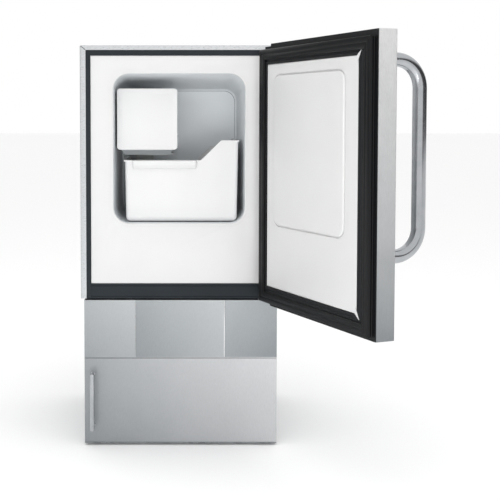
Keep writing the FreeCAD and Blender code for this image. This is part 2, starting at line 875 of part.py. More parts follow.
def make_main_door():
    """Every piece of the door, turned open together about the hinge pins."""
    pieces = [
        make_door_skin(), make_door_foam(), make_door_liner(), make_gasket_retainer(),
        make_door_gasket(), make_door_handle(), make_handle_screws(), make_door_hinge_bushes(),
    ]
    centre = Vector(D.hinge_x.value, D.hinge_y.value, 0)
    turn = FreeCAD.Rotation(Vector(0, 0, 1), D.door_rest_angle.value)
    opened = FreeCAD.Placement(centre - turn.multVec(centre), turn)
    for piece in pieces:
        piece.Placement = opened


# ---------------------------------------------------------------- ice bin


BIN_OUTLINE = [
    (-111, D.bin_bottom), (115.5, D.bin_bottom), (118, D.bin_high_rim), (83, D.bin_high_rim),
    (41.6, D.bin_low_rim), (-114.5, D.bin_low_rim),
]


def make_ice_bin():
    """White open-topped bin with a sloping shoulder, a rolled rim and a grip ledge."""
    body = new_body("ice_bin")
    wall = D.bin_wall
    add_slab(body, "XZ_Plane", D.bin_front, D.bin_back,
             lambda s: polygon(s, BIN_OUTLINE))
    low = D.bin_bottom.value

    def floor_sides(edge):
        return edge.YLength > 100 and near(edge.ZMin, low)

    dress_edges(body, "Fillet", 10, floor_sides)
    dress_edges(body, "Fillet", 6, lambda e: flat_at_y(e, D.bin_front) and e.ZMin < 570)
    hollow = [
        (-101, D.bin_bottom + wall), (105, D.bin_bottom + wall), (112.8, 466), (115.5, 640),
        (-112, 640), (-108.4, 466),
    ]
    cut_slab(body, "XZ_Plane", D.bin_front + wall, D.bin_back - wall, lambda s: polygon(s, hollow))
    lower_rim = 16
    cut_slab(body, "XZ_Plane", D.bin_back - wall - 1, D.bin_back + 1,
             lambda s: polygon(s, [(-130, 650), (-130, D.bin_low_rim - lower_rim),
                                   (24, D.bin_low_rim - lower_rim),
                                   (66, D.bin_high_rim - lower_rim),
                                   (130, D.bin_high_rim - lower_rim), (130, 650)]))
    ledge = [
        (D.bin_front + 1, D.bin_low_rim - 17), (D.bin_front + 1, D.bin_low_rim),
        (D.bin_front - 9, D.bin_low_rim), (D.bin_front - 9, D.bin_low_rim - 4),
        (D.bin_front - 3, D.bin_low_rim - 8), (D.bin_front - 2, D.bin_low_rim - 17),
    ]
    add_slab(body, "YZ_Plane", -99, 33, lambda s: polygon(s, ledge))
    rim = 3
    left_rim = [
        (-113, D.bin_low_rim - rim), (-116.5, D.bin_low_rim - rim), (-116.5, D.bin_low_rim),
        (-113, D.bin_low_rim),
    ]
    right_rim = [
        (117, D.bin_high_rim - rim), (120, D.bin_high_rim - rim), (120, D.bin_high_rim),
        (117, D.bin_high_rim),
    ]
    add_slab(body, "XZ_Plane", D.bin_front + 3, D.bin_back - 6, lambda s: polygon(s, left_rim))
    add_slab(body, "XZ_Plane", D.bin_front + 3, D.bin_back - 6, lambda s: polygon(s, right_rim))


# ---------------------------------------------------------------- crescent-cube module

BEARING_CLEARANCE = 0.06
MOULD_END_WALL = 4
cavity_start = D.mould_front + MOULD_END_WALL
cavity_pitch = (D.mould_back - MOULD_END_WALL - cavity_start) / CUBE_CAVITIES


def make_icemaker_cover():
    """White rounded-square front cover, open at its back."""
    body = new_body("icemaker_cover")
    face = -160
    span = (-130, -7)
    height = (602.5, 727.5)
    add_slab(body, "XZ_Plane", face, D.mould_front, lambda s: rounded_rectangle(s, span, height, 7))
    dress_edges(body, "Fillet", 3.5, lambda e: flat_at_y(e, face))
    cut_slab(body, "XZ_Plane", face + 2.2, D.mould_front + 1,
             lambda s: rounded_rectangle(s, (-128, -9), (604.5, 725.5), 5))


def make_gearbox_housing():
    """Drive housing inside the cover, bored for the ejector shaft and the arm's pivot."""
    body = new_body("gearbox_housing")
    add_slab(body, "XZ_Plane", -148, D.mould_front - 0.4,
             lambda s: rounded_rectangle(s, (-127, -9.6), (605.2, 718), 4))

    def bearings(sketch):
        circle(sketch, D.mould_x, D.mould_z, D.shaft_radius + BEARING_CLEARANCE)
        circle(sketch, D.arm_x, D.arm_z, D.arm_wire_radius + BEARING_CLEARANCE)

    cut_slab(body, "XZ_Plane", D.mould_front - 16, D.mould_front + 1, bearings)


def make_ice_mould():
    """Half-round aluminium trough with closed ends and dividers between the cavities."""
    inner_length = D.mould_back - D.mould_front - 2 * MOULD_END_WALL
    outer = cylinder("mould_outer", "Y", (D.mould_x, D.mould_front, D.mould_z),
                     D.mould_back - D.mould_front, D.mould_radius)
    inner = cylinder("mould_inner", "Y", (D.mould_x, cavity_start, D.mould_z),
                     inner_length, D.mould_cavity_radius)
    reach = D.mould_radius + 1
    above = box("mould_above", (D.mould_x - reach, D.mould_x + reach),
                (D.mould_front - 1, D.mould_back + 1), (D.mould_z - 0.2, D.mould_z + reach))
    shaft_room = box("mould_shaft_room", (D.mould_x - 14, D.mould_x + 14),
                     (D.mould_front - 1, D.mould_back + 1), (D.mould_z - 8, D.mould_z + reach))
    trough = cut("mould_trough", outer, [inner, above, shaft_room])
    dividers = []
    for index in range(1, CUBE_CAVITIES):
        middle = cavity_start + cavity_pitch * index
        disc = cylinder(f"divider_disc_{index}", "Y", (D.mould_x, middle - 1.25, D.mould_z),
                        2.5, D.mould_cavity_radius + 1)
        top = box(f"divider_top_{index}", (D.mould_x - reach, D.mould_x + reach),
                  (middle - 3, middle + 3), (D.mould_z - 10, D.mould_z + reach))
        dividers.append(cut(f"divider_{index}", disc, [top]))
    node("ice_mould", fuse("ice_mould", [trough] + dividers))


def make_ejector_shaft():
    """Round shaft with one sweeping blade for each cavity."""
    shaft = cylinder("shaft_bar", "Y", (D.mould_x, D.mould_front - 13, D.mould_z),
                     D.mould_back - D.mould_front + 20, D.shaft_radius)
    blades = [shaft]
    for index in range(CUBE_CAVITIES):
        middle = cavity_start + cavity_pitch * (index + 0.5)
        blades.append(box(f"blade_{index}", (D.mould_x - D.mould_cavity_radius + 3.5, D.mould_x),
                          (middle - 4, middle + 4), (D.mould_z - 1.5, D.mould_z + 4)))
    node("ejector_shaft", fuse("ejector_shaft", blades))


def make_stripper_comb():
    """White comb on the mould's right rim; its fingers lie over the dividers."""
    rim_right = D.mould_x + D.mould_radius
    low = D.mould_z - 0.2
    teeth = [box("comb_spine", (rim_right - 9, rim_right), (D.mould_front + 1, D.mould_back - 1),
                 (low, low + 4))]
    for index in range(1, CUBE_CAVITIES):
        middle = cavity_start + cavity_pitch * index
        teeth.append(box(f"comb_finger_{index}", (D.mould_x + 8, rim_right - 8),
                         (middle - 2, middle + 2), (low, low + 4)))
    node("stripper_comb", fuse("stripper_comb", teeth))


def make_mould_heater():
    """U-shaped heater bar under the mould."""
    radius = 2.6
    side = 15
    x = D.mould_x.value
    z = D.mould_z.value - D.mould_radius.value - radius
    ends = D.mould_front.value + 2
    turn_y = D.mould_back.value - 4
    route = [(x - side, ends, z), (x - side, turn_y, z), (x + side, turn_y, z), (x + side, ends, z)]
    node("mould_heater", feature("mould_heater", tube_solid(route, radius, 12)))


def make_fill_cup():
    """White cup behind the mould: takes the water and carries the shaft's rear end."""
    body = new_body("fill_cup")
    low_y = D.mould_back + 0.3
    high_y = D.mould_back + 15
    outline = [
        (-100, 600), (-100, 573), (-60, 573), (-60, 600), (-8, 600), (-8, 626), (-44, 640),
        (-44, 706), (-96, 706), (-96, 640), (-100, 640),
    ]
    add_slab(body, "XZ_Plane", low_y, high_y, lambda s: polygon(s, outline))
    cut_slab(body, "XZ_Plane", low_y - 1, low_y + 9,
             lambda s: (circle(s, D.mould_x, D.mould_z, D.shaft_radius + BEARING_CLEARANCE),
                        circle(s, D.arm_x, D.arm_z, D.arm_wire_radius + BEARING_CLEARANCE)))
    cut_slab(body, "XY_Plane", 668, 710,
             lambda s: rectangle(s, (-93, -47), (low_y + 2, high_y + 1)))


def make_icemaker_bracket():
    """Bent steel bracket beside the mould, with the curved guard that runs under the mould."""
    body = new_body("icemaker_bracket")
    profile = [
        (-124.5, 600), (-123, 600), (-123, 639.8), (-113.2, 639.8), (-113.2, 641.3),
        (-123, 641.3), (-123, 716), (-124.5, 716),
    ]
    add_slab(body, "XZ_Plane", D.mould_front + 2, D.mould_back + 8, lambda s: polygon(s, profile))
    guard = [
        (-124.5, 601), (-112, 592.2), (-94, 590.4), (-60, 590), (-38, 589.2), (-26, 590),
        (-16, 592.6), (-16, 594), (-26, 591.4), (-38, 590.6), (-60, 591.4), (-94, 591.6),
        (-112, 593.6), (-123.5, 602),
    ]
    add_slab(body, "XZ_Plane", D.mould_front + 2, D.mould_back - 1, lambda s: polygon(s, guard))
    for y in (D.mould_front + 20, D.mould_back - 12):
        add_slab(body, "YZ_Plane", -128.6, -124.4, lambda s: circle(s, y, 690, 5))


def make_shutoff_arm():
    """Bent wire bail that swings down over the bin and stops the module when the bin is full."""
    x = D.arm_x.value
    z = D.arm_z.value
    ahead = D.mould_front.value + 5
    behind = D.mould_back.value - 5
    top = z + D.arm_reach.value
    route = [
        (x, D.mould_front.value - 10, z), (x, ahead, z), (x, ahead, top), (x, behind, top),
        (x, behind, z), (x, D.mould_back.value + 8, z),
    ]
    node("shutoff_arm", feature("shutoff_arm", tube_solid(route, D.arm_wire_radius.value, 4)))


# ---------------------------------------------------------------- cooling and water


def make_evaporator():
    """Plate against the compartment's back with a serpentine of tube on it."""
    plate_low = (tub_floor_back + D.tub_wall + 0.3).value
    plate = Part.makeBox(2 * EVAPORATOR_HALF, 1.5, EVAPORATOR_HIGH - EVAPORATOR_LOW,
                         Vector(-EVAPORATOR_HALF, plate_low, EVAPORATOR_LOW))
    tube_y = plate_low + 4.5
    passes = 6
    step = (EVAPORATOR_HIGH - EVAPORATOR_LOW - 36) / (passes - 1)
    reach = EVAPORATOR_HALF - 8
    route = []
    for index in range(passes):
        z = EVAPORATOR_LOW + 18 + step * index
        side = -1 if index % 2 == 0 else 1
        route += [(side * reach, tube_y, z), (-side * reach, tube_y, z)]
    tube = tube_solid(route, 3.6, 12)
    node("evaporator_plate", feature("evaporator_plate", plate.fuse(tube)))


def make_compressor():
    """Welded steel can with a pressed waist seam and a foot plate."""
    body = new_body("compressor")
    foot = pan_top + 12
    add_slab(body, "XY_Plane", foot, foot + 3, lambda s: rounded_rectangle(
        s, (D.compressor_x - 66, D.compressor_x + 66), (D.compressor_y - 66, D.compressor_y + 66), 16))
    add_slab(body, "XY_Plane", foot + 2, foot + 140,
             lambda s: circle(s, D.compressor_x, D.compressor_y, D.compressor_radius))
    add_slab(body, "XY_Plane", foot + 78, foot + 82,
             lambda s: circle(s, D.compressor_x, D.compressor_y, D.compressor_radius + 3))
    top = (foot + 140).value
    dress_edges(body, "Fillet", 26, lambda e: near(e.ZMin, top) and near(e.ZMax, top))
    for x in (-54, 54):
        for y in (-54, 54):
            cut_slab(body, "XY_Plane", foot - 1, foot + 4,
                     lambda s: circle(s, D.compressor_x + x, D.compressor_y + y, 4.5))


def make_compressor_grommets():
    """Four rubber grommets under the compressor's foot plate."""
    grommets = []
    for index in range(4):
        x = D.compressor_x + (54 if index % 2 else -54)
        y = D.compressor_y + (54 if index // 2 else -54)
        pad = cylinder(f"grommet_pad_{index}", "Z", (x, y, pan_top), 12, 9)
        neck = cylinder(f"grommet_neck_{index}", "Z", (x, y, pan_top + 11), 6, 4.4)
        grommets.append(fuse(f"grommet_{index}", [pad, neck]))
    node("compressor_grommets", group("compressor_grommets", grommets))


def make_relay_cover():
    body = new_body("compressor_relay_cover")
    left = D.compressor_x - D.compressor_radius - 22
    cut_from = D.compressor_x - D.compressor_radius - 0.3
    add_slab(body, "YZ_Plane", left, cut_from, lambda s: rounded_rectangle(
        s, (D.compressor_y - 24, D.compressor_y + 24), (pan_top + 50, pan_top + 85), 5))
    dress_edges(body, "Fillet", 4, lambda e: near(e.XMin, left) and near(e.XMax, left))


CONDENSER_X = (-174, -22)
CONDENSER_Y = -150
CONDENSER_ROWS = (207, 231, 255, 279)
CONDENSER_TUBE = 4


def make_condenser():
    """A stack of thin fins on a serpentine tube."""
    fins = []
    left, right = CONDENSER_X
    pitch = (right - left) / (CONDENSER_FINS - 1)
    for index in range(CONDENSER_FINS):
        x = left + pitch * index
        fin = Part.makeBox(0.8, 36, 100, Vector(x - 0.4, CONDENSER_Y - 18, 193))
        for z in CONDENSER_ROWS:
            fin = fin.cut(Part.makeCylinder(CONDENSER_TUBE, 4, Vector(x - 2, CONDENSER_Y, z),
                                            Vector(1, 0, 0)))
        fins.append(fin)
    node("condenser_fins", feature("condenser_fins", Part.makeCompound(fins)))
    route = []
    for index, z in enumerate(CONDENSER_ROWS):
        ends = (left - 12, right + 18) if index % 2 else (right + 18, left - 12)
        route += [(ends[0], CONDENSER_Y, z), (ends[1], CONDENSER_Y, z)]
    node("condenser_tube", feature("condenser_tube", tube_solid(route, CONDENSER_TUBE, 9)))


FAN_Y = -104


def make_fan_shroud():
    """Flat shroud with a round throat that stands behind the condenser."""
    body = new_body("fan_shroud")
    add_slab(body, "XZ_Plane", FAN_Y - 12, FAN_Y - 10,
             lambda s: (rectangle(s, (-188, -20), (pan_top + 0.2, 318)),
                        circle(s, D.fan_x, D.fan_z, D.fan_radius + 4)))
    add_slab(body, "XZ_Plane", FAN_Y - 10.5, FAN_Y + 12,
             lambda s: (circle(s, D.fan_x, D.fan_z, D.fan_radius + 6),
                        circle(s, D.fan_x, D.fan_z, D.fan_radius + 4)))


def make_fan_motor():
    """Shaded-pole motor on a bracket, with the shaft that the blade runs on."""
    body = new_body("fan_motor")
    add_slab(body, "XZ_Plane", FAN_Y + 16, FAN_Y + 50,
             lambda s: rounded_rectangle(s, (D.fan_x - 26, D.fan_x + 26),
                                         (D.fan_z - 22, D.fan_z + 22), 8))
    add_slab(body, "XZ_Plane", FAN_Y - 6, FAN_Y + 17, lambda s: circle(s, D.fan_x, D.fan_z, 3))
    add_slab(body, "XY_Plane", pan_top + 0.2, D.fan_z - 20,
             lambda s: rectangle(s, (D.fan_x - 16, D.fan_x + 16), (FAN_Y + 44, FAN_Y + 47)))


def make_fan_blade():
    """Hub with pitched blades, bored to fit the motor shaft."""
    centre = Vector(D.fan_x.value, FAN_Y, D.fan_z.value)
    hub = Part.makeCylinder(14, 16, centre + Vector(0, -8, 0), Vector(0, 1, 0))
    parts = []
    for index in range(FAN_BLADES):
        blade = Part.makeBox(D.fan_radius.value - 12, 1.8, 34, Vector(11, -0.9, -17))
        blade.rotate(Vector(), Vector(1, 0, 0), 24)
        blade.rotate(Vector(), Vector(0, 1, 0), 360 / FAN_BLADES * index)
        blade.translate(centre)
        parts.append(blade)
    wheel = hub.multiFuse(parts)
    rim = Part.makeCylinder(D.fan_radius.value, 30, centre + Vector(0, -15, 0), Vector(0, 1, 0))
    wheel = wheel.common(rim)
    bore = Part.makeCylinder(3.06, 40, centre + Vector(0, -20, 0), Vector(0, 1, 0))
    node("fan_blade", feature("fan_blade", wheel.cut(bore)))


def make_filter_drier():
    """Copper drier can with tapered ends, standing beside the compressor."""
    base = Vector(-8, 70, 216)
    can = Part.makeCylinder(9, 60, base)
    lower = Part.makeCone(3, 9, 12, base - Vector(0, 0, 12))
    upper = Part.makeCone(9, 3, 12, base + Vector(0, 0, 60))
    node("filter_drier", feature("filter_drier", can.multiFuse([lower, upper])))


def make_refrigerant_pipes():
    """Copper lines between condenser, drier, compressor and evaporator."""
    x, y = D.compressor_x.value, D.compressor_y.value
    right = CONDENSER_X[1] + 18
    discharge = tube_solid([
        (x, y - D.compressor_radius.value - 0.4, 240), (x, -20, 240), (x, -20, 207), (x, CONDENSER_Y, 207),
        (right + 0.2, CONDENSER_Y, 207),
    ], 3, 12)
    to_drier = tube_solid([
        (-8, 70, 203.8), (-8, 70, 190), (-8, 40, 190), (-8, 40, 320), (60, 40, 320),
    ], 2, 6)
    suction = tube_solid([
        (x - 20, y, pan_top.value + 152.4), (x - 20, y, 420), (x - 20, 92, 420), (x - 20, 92, 640),
        (x - 20, D.foam_back.value + 0.4, 640),
    ], 4, 12)
    node("refrigerant_pipes", feature("refrigerant_pipes",
                                      Part.makeCompound([discharge, to_drier, suction])))


def make_water_valve():
    """Inlet valve on the rear panel: threaded port through the panel, solenoid above."""
    x, z = VALVE
    block = box("valve_block", (x - 20, x + 20), (rear_face - 36, rear_face - 0.3), (z - 18, z + 18))
    neck = cylinder("valve_neck", "Y", (x, rear_face - 1, z), 4, 12)
    port = cylinder("valve_port", "Y", (x, rear_face + 2.5, z), 10.5, 13.25)
    bore = cylinder("valve_bore", "Y", (x, rear_face - 12, z), 30, 8)
    coil = cylinder("valve_coil", "Z", (x, rear_face - 18, z + 17), 30, 13)
    solid = fuse("valve_solid", [block, neck, port, coil])
    node("water_inlet_valve", cut("water_inlet_valve", solid, [bore]))


def make_fill_tube():
    """Water line from the valve, up the rear column and through the foam to the fill cup."""
    x, z = VALVE
    valve_front = rear_face.value - 36.3
    fill_x, fill_z = FILL_X.value, FILL_Z.value
    route = [
        (x, valve_front, z), (x, 100, z), (x, 100, fill_z), (fill_x, 100, fill_z),
        (fill_x, D.mould_back.value + 16, fill_z),
    ]
    node("fill_tube", feature("fill_tube", tube_solid(route, 5, 22)))


# ---------------------------------------------------------------- storage pedestal

pedestal_top_low = D.cabinet_bottom - D.pedestal_sheet - 0.1
base_top = D.pedestal_bottom + D.pedestal_sheet
storage_pin_y = front + D.storage_door_thickness / 2
storage_door_z = (base_top + D.storage_door_gap, pedestal_top_low - D.storage_door_gap)
STORAGE_PIN_RADIUS = 3


def make_pedestal_shell():
    """Open-fronted steel box sides and back of the pedestal."""
    body = new_body("pedestal_shell")
    half = D.pedestal_half_width
    t = D.pedestal_sheet
    corners = [
        (-half, D.pedestal_shell_front), (-half + t, D.pedestal_shell_front), (-half + t, back - t),
        (half - t, back - t), (half - t, D.pedestal_shell_front), (half, D.pedestal_shell_front),
        (half, back), (-half, back),
    ]
    add_slab(body, "XY_Plane", base_top, pedestal_top_low, lambda s: polygon(s, corners))


FEET = {
    "front_left": (-1, -1),
    "front_right": (1, -1),
    "rear_left": (-1, 1),
    "rear_right": (1, 1),
}


def draw_storage_pin(sketch):
    circle(sketch, D.storage_hinge_x, storage_pin_y, STORAGE_PIN_RADIUS)


def make_pedestal_plates():
    half = D.pedestal_half_width
    depth = (front + 0.5, back)
    top = new_body("pedestal_top")
    add_slab(top, "XY_Plane", pedestal_top_low, pedestal_top_low + D.pedestal_sheet,
             lambda s: rectangle(s, (-half, half), depth))
    cut_slab(top, "XY_Plane", pedestal_top_low - 1, pedestal_top_low + 3, draw_storage_pin)
    base = new_body("pedestal_base")
    add_slab(base, "XY_Plane", D.pedestal_bottom, base_top, lambda s: rectangle(s, (-half, half), depth))

    def at_feet(radius):
        def draw(sketch):
            for x_side, y_side in FEET.values():
                circle(sketch, D.foot_inset * x_side, D.foot_inset * y_side, radius)
        return draw

    add_slab(base, "XY_Plane", base_top - 0.5, base_top + 6, at_feet(9))
    cut_slab(base, "XY_Plane", D.pedestal_bottom - 1, base_top + 7, at_feet(D.foot_stem_radius + 0.06))
    cut_slab(base, "XY_Plane", D.pedestal_bottom - 1, base_top + 1, draw_storage_pin)


def make_hinge_pins():
    """The four fixed pins that the main door and the storage door turn on."""
    length = 15
    short = 9
    plate_top = upper_plate_low + D.hinge_plate
    cap_top = pedestal_top_low + D.pedestal_sheet
    pins = []
    for name, x, y, low, tall, radius in (
        ("door_pin_high", D.hinge_x, D.hinge_y, plate_top - length, length, D.hinge_pin_radius),
        ("door_pin_low", D.hinge_x, D.hinge_y, lower_plate_low, length, D.hinge_pin_radius),
        ("storage_pin_high", D.storage_hinge_x, storage_pin_y, cap_top - short, short,
         STORAGE_PIN_RADIUS),
        ("storage_pin_low", D.storage_hinge_x, storage_pin_y, D.pedestal_bottom, short,
         STORAGE_PIN_RADIUS),
    ):
        pins.append(cylinder(name, "Z", (x, y, low), tall, radius))
    node("hinge_pins", group("hinge_pins", pins))


STORAGE_BUSH_RADIUS = 5


def make_storage_door():
    """Folded skin, inner panel and nylon bushes of the storage door."""
    half = D.pedestal_half_width
    low, high = storage_door_z
    door_back = front + D.storage_door_thickness
    skin = new_body("storage_door_skin")
    sheet_size = D.sheet_steel
    add_slab(skin, "XZ_Plane", front, door_back, lambda s: rectangle(s, (-half, half), (low, high)))
    dress_edges(skin, "Fillet", 1.5, lambda e: flat_at_y(e, front))
    cut_slab(skin, "XZ_Plane", front + sheet_size, door_back + 1,
             lambda s: rectangle(s, (-half + sheet_size, half - sheet_size),
                                 (low + sheet_size, high - sheet_size)))

    def bush_place(sketch):
        circle(sketch, D.storage_hinge_x, storage_pin_y, STORAGE_BUSH_RADIUS)

    cut_slab(skin, "XY_Plane", low - 1, low + 3, bush_place)
    cut_slab(skin, "XY_Plane", high - 3, high + 1, bush_place)
    panel = new_body("storage_door_inner_panel")
    inner_low = low + sheet_size + 0.1
    inner_high = high - sheet_size - 0.1
    inner_half = half - sheet_size - 0.1
    add_slab(panel, "XZ_Plane", door_back - 1.5, door_back,
             lambda s: rectangle(s, (-inner_half, inner_half), (inner_low, inner_high)))
    bushes = []
    for name, bush_low in (("low", low + 0.2), ("high", high - 10.2)):
        sleeve = cylinder(f"storage_sleeve_{name}", "Z",
                          (D.storage_hinge_x, storage_pin_y, bush_low), 10, STORAGE_BUSH_RADIUS)
        bore = cylinder(f"storage_bore_{name}", "Z",
                        (D.storage_hinge_x, storage_pin_y, bush_low - 1), 12,
                        STORAGE_PIN_RADIUS + D.hinge_clearance)
        bushes.append(cut(f"storage_bush_{name}", sleeve, [bore]))
    node("storage_hinge_bushes", group("storage_hinge_bushes", bushes))


def make_storage_handle():
    """Slim vertical bar on two posts."""
    body = new_body("storage_handle")
    x = -178
    bar_y = front - 27
    add_slab(body, "XY_Plane", 37, 154.5, lambda s: circle(s, x, bar_y, 4.5))
    add_slab(body, "XZ_Plane", bar_y, front,
             lambda s: (circle(s, x, 43, 3.6), circle(s, x, 148.5, 3.6)))


CATCH_Z = (84, 100)


def make_magnetic_catch():
    """Magnet block inside the shell's left wall and its steel strike on the door."""
    left = -D.pedestal_half_width + D.pedestal_sheet
    body = new_body("magnetic_catch")
    add_slab(body, "XZ_Plane", D.pedestal_shell_front, D.pedestal_shell_front + 28,
             lambda s: rectangle(s, (left, left + 14), CATCH_Z))
    strike = new_body("catch_strike")
    strike_front = front + D.storage_door_thickness
    add_slab(strike, "XZ_Plane", strike_front, strike_front + 2,
             lambda s: rectangle(s, (left + 1, left + 13), (CATCH_Z[0] - 4, CATCH_Z[1] + 4)))


def make_feet():
    """Levelling feet: a round pad under a threaded stem."""
    pad_height = D.pedestal_bottom - 0.4
    for corner, (x_side, y_side) in FEET.items():
        label = f"levelling_foot_{corner}"
        body = new_body(label)
        x = D.foot_inset * x_side
        y = D.foot_inset * y_side
        add_slab(body, "XY_Plane", 0, pad_height, lambda s: circle(s, x, y, D.foot_radius))
        add_slab(body, "XY_Plane", pad_height - 0.5, base_top + 16,
                 lambda s: circle(s, x, y, D.foot_stem_radius))


# ---------------------------------------------------------------- build, check and write


def build():
    make_cabinet_shell()
    make_front_trim()
    make_breaker_strips()
    make_front_sill()
    make_liner_face()
    make_tub()
    make_cabinet_foam()
    make_base_pan()
    make_kick_panel("kick_panel_left", -base_half, D.kick_seam_left - 0.2, "left")
    make_kick_panel("kick_panel_centre", D.kick_seam_left + 0.2, D.kick_seam_right - 0.2, None)
    make_kick_panel("kick_panel_right", D.kick_seam_right + 0.2, base_half, "right")
    make_rear_panel()
    make_rear_screws()
    make_hinge_plates()
    make_main_door()
    make_ice_bin()
    make_icemaker_cover()
    make_gearbox_housing()
    make_ice_mould()
    make_ejector_shaft()
    make_stripper_comb()
    make_mould_heater()
    make_fill_cup()
    make_icemaker_bracket()
    make_shutoff_arm()
    make_evaporator()
    make_compressor()
    make_compressor_grommets()
    make_relay_cover()
    make_condenser()
    make_fan_shroud()
    make_fan_motor()
    make_fan_blade()
    make_filter_drier()
    make_refrigerant_pipes()
    make_water_valve()
    make_fill_tube()
    make_pedestal_shell()
    make_pedestal_plates()
    make_hinge_pins()
    make_storage_door()
    make_storage_handle()
    make_magnetic_catch()
    make_feet()
    document.recompute()


def check():
    """Stop if any object failed, any pocket cut nothing, or any sub-part isn't a sound solid."""
    for item in document.Objects:
        if {"Invalid", "Error"} & set(item.State):
            raise RuntimeError(f"{item.Label} failed: {item.State}")
        if item.TypeId == "PartDesign::Pocket":
            if item.Shape.Volume > item.BaseFeature.Shape.Volume - 0.01:
                raise RuntimeError(f"{item.Label} cuts nothing")
    for item in NODES:
        shape = item.Shape
        if shape.isNull() or not shape.isValid() or not shape.Solids:
            raise RuntimeError(f"{item.Label} is not a sound solid")


def write():
    os.makedirs("parts", exist_ok=True)
    for item in NODES:
        item.Shape.exportStep(f"parts/{item.Label}.step")
        size = item.Shape.BoundBox
        print(f"{item.Label:26s} solids {len(item.Shape.Solids):2d}"
              f" x {size.XMin:7.1f} {size.XMax:7.1f} y {size.YMin:7.1f} {size.YMax:7.1f}"
              f" z {size.ZMin:6.1f} {size.ZMax:6.1f} volume {item.Shape.Volume:11.0f}")
    print(len(NODES), "sub-parts")


build()
check()
write()
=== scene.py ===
"""Looks of a crescent-cube ice maker on a storage pedestal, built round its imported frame.

Each sub-assembly is a class that models its visible pieces with mesh operators, in metres, at
their place in the frame, and dresses the pieces that stay as they were packed.
"""
import json
import logging
import math
from collections.abc import Callable
from dataclasses import dataclass
from enum import Enum

import bmesh
import bpy
from mathutils import Matrix, Vector


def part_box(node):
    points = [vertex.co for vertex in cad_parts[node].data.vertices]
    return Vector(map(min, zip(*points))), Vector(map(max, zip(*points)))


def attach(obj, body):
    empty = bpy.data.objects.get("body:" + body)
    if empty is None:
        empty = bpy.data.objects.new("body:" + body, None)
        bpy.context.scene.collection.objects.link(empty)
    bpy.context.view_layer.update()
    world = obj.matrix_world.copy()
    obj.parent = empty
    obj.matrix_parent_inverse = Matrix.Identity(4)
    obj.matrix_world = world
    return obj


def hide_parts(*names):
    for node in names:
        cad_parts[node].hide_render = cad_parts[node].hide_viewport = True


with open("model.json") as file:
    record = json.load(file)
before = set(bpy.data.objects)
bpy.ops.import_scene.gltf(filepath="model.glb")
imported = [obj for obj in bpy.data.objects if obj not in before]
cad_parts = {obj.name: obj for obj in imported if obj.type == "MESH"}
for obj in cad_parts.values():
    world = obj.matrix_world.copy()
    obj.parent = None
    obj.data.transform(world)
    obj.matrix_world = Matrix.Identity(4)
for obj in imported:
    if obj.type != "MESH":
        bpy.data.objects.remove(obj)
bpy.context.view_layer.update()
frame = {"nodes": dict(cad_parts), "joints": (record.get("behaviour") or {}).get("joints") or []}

LOG = logging.getLogger("ice_maker")
MM = 0.001
ALONG = 0.9
ACROSS = 0.1
NEAR = 0.1 * MM
REACH = 0.01
UPRIGHT_TURN = (math.pi / 2, 0, 0)


# ---------------------------------------------------------------- operators and selection


def deselect() -> None:
    """Clear the selection, so that the next operator acts on the new piece alone."""
    for item in bpy.context.selected_objects:
        item.select_set(False)


def activate(piece: bpy.types.Object) -> None:
    """Select one piece and make it active."""
    deselect()
    piece.select_set(True)
    bpy.context.view_layer.objects.active = piece


def freeze() -> None:
    """Write the active piece's place, turn and size into its mesh."""
    bpy.ops.object.transform_apply(location=True, rotation=True, scale=True)


def upright(_spot: Vector, way: Vector) -> bool:
    """Whether an edge runs upright."""
    return abs(way.z) > ALONG


def through(_spot: Vector, way: Vector) -> bool:
    """Whether an edge runs from front to back."""
    return abs(way.y) > ALONG


def level(_spot: Vector, way: Vector) -> bool:
    """Whether an edge lies level."""
    return abs(way.z) < ACROSS


def looks_down(_spot: Vector, normal: Vector) -> bool:
    """Whether a face looks down."""
    return normal.z < -ALONG


def looks_back(_spot: Vector, normal: Vector) -> bool:
    """Whether a face looks to the back."""
    return normal.y > ALONG


def new_cube(name: str, low: Vector, high: Vector) -> bpy.types.Object:
    """Add a cube that fills the space between two corners.

    Args:
        name: the piece's name.
        low: its lowest corner.
        high: its highest corner.

    Returns:
        The new object, with its place in its mesh.
    """
    deselect()
    low, high = Vector(low), Vector(high)
    bpy.ops.mesh.primitive_cube_add(size=1, location=(low + high) / 2)
    piece = bpy.context.object
    piece.name = name
    piece.dimensions = high - low
    freeze()
    return piece


def new_rod(name: str, start: Vector, end: Vector, radius: float, sides: int = 48) -> bpy.types.Object:
    """Add a closed rod between two points.

    Args:
        name: the piece's name.
        start: middle of its first end.
        end: middle of its second end.
        radius: its radius.
        sides: how many sides the round has.

    Returns:
        The new object, with its place in its mesh.
    """
    deselect()
    start, end = Vector(start), Vector(end)
    along = end - start
    bpy.ops.mesh.primitive_cylinder_add(vertices=sides, radius=radius, depth=along.length)
    piece = bpy.context.object
    piece.name = name
    turn = along.to_track_quat("Z", "Y").to_matrix().to_4x4()
    piece.data.transform(Matrix.Translation((start + end) / 2) @ turn)
    return piece


def pick(piece: bpy.types.Object, kind: str, wanted: Callable[[Vector, Vector], bool]) -> None:
    """Enter edit mode with the wanted faces or edges selected.

    Args:
        piece: the mesh object.
        kind: FACE or EDGE.
        wanted: a test of an element's middle and of its normal or direction.
    """
    activate(piece)
    mesh = piece.data
    bpy.ops.object.mode_set(mode="EDIT")
    bpy.ops.mesh.select_mode(type=kind)
    bpy.ops.mesh.select_all(action="DESELECT")
    shape = bmesh.from_edit_mesh(mesh)
    if kind == "FACE":
        for face in shape.faces:
            face.select_set(wanted(face.calc_center_median(), face.normal))
    else:
        for edge in shape.edges:
            first, second = (vert.co for vert in edge.verts)
            if wanted((first + second) / 2, (second - first).normalized()):
                edge.select_set(True)
    shape.select_flush_mode()
    bmesh.update_edit_mesh(mesh)


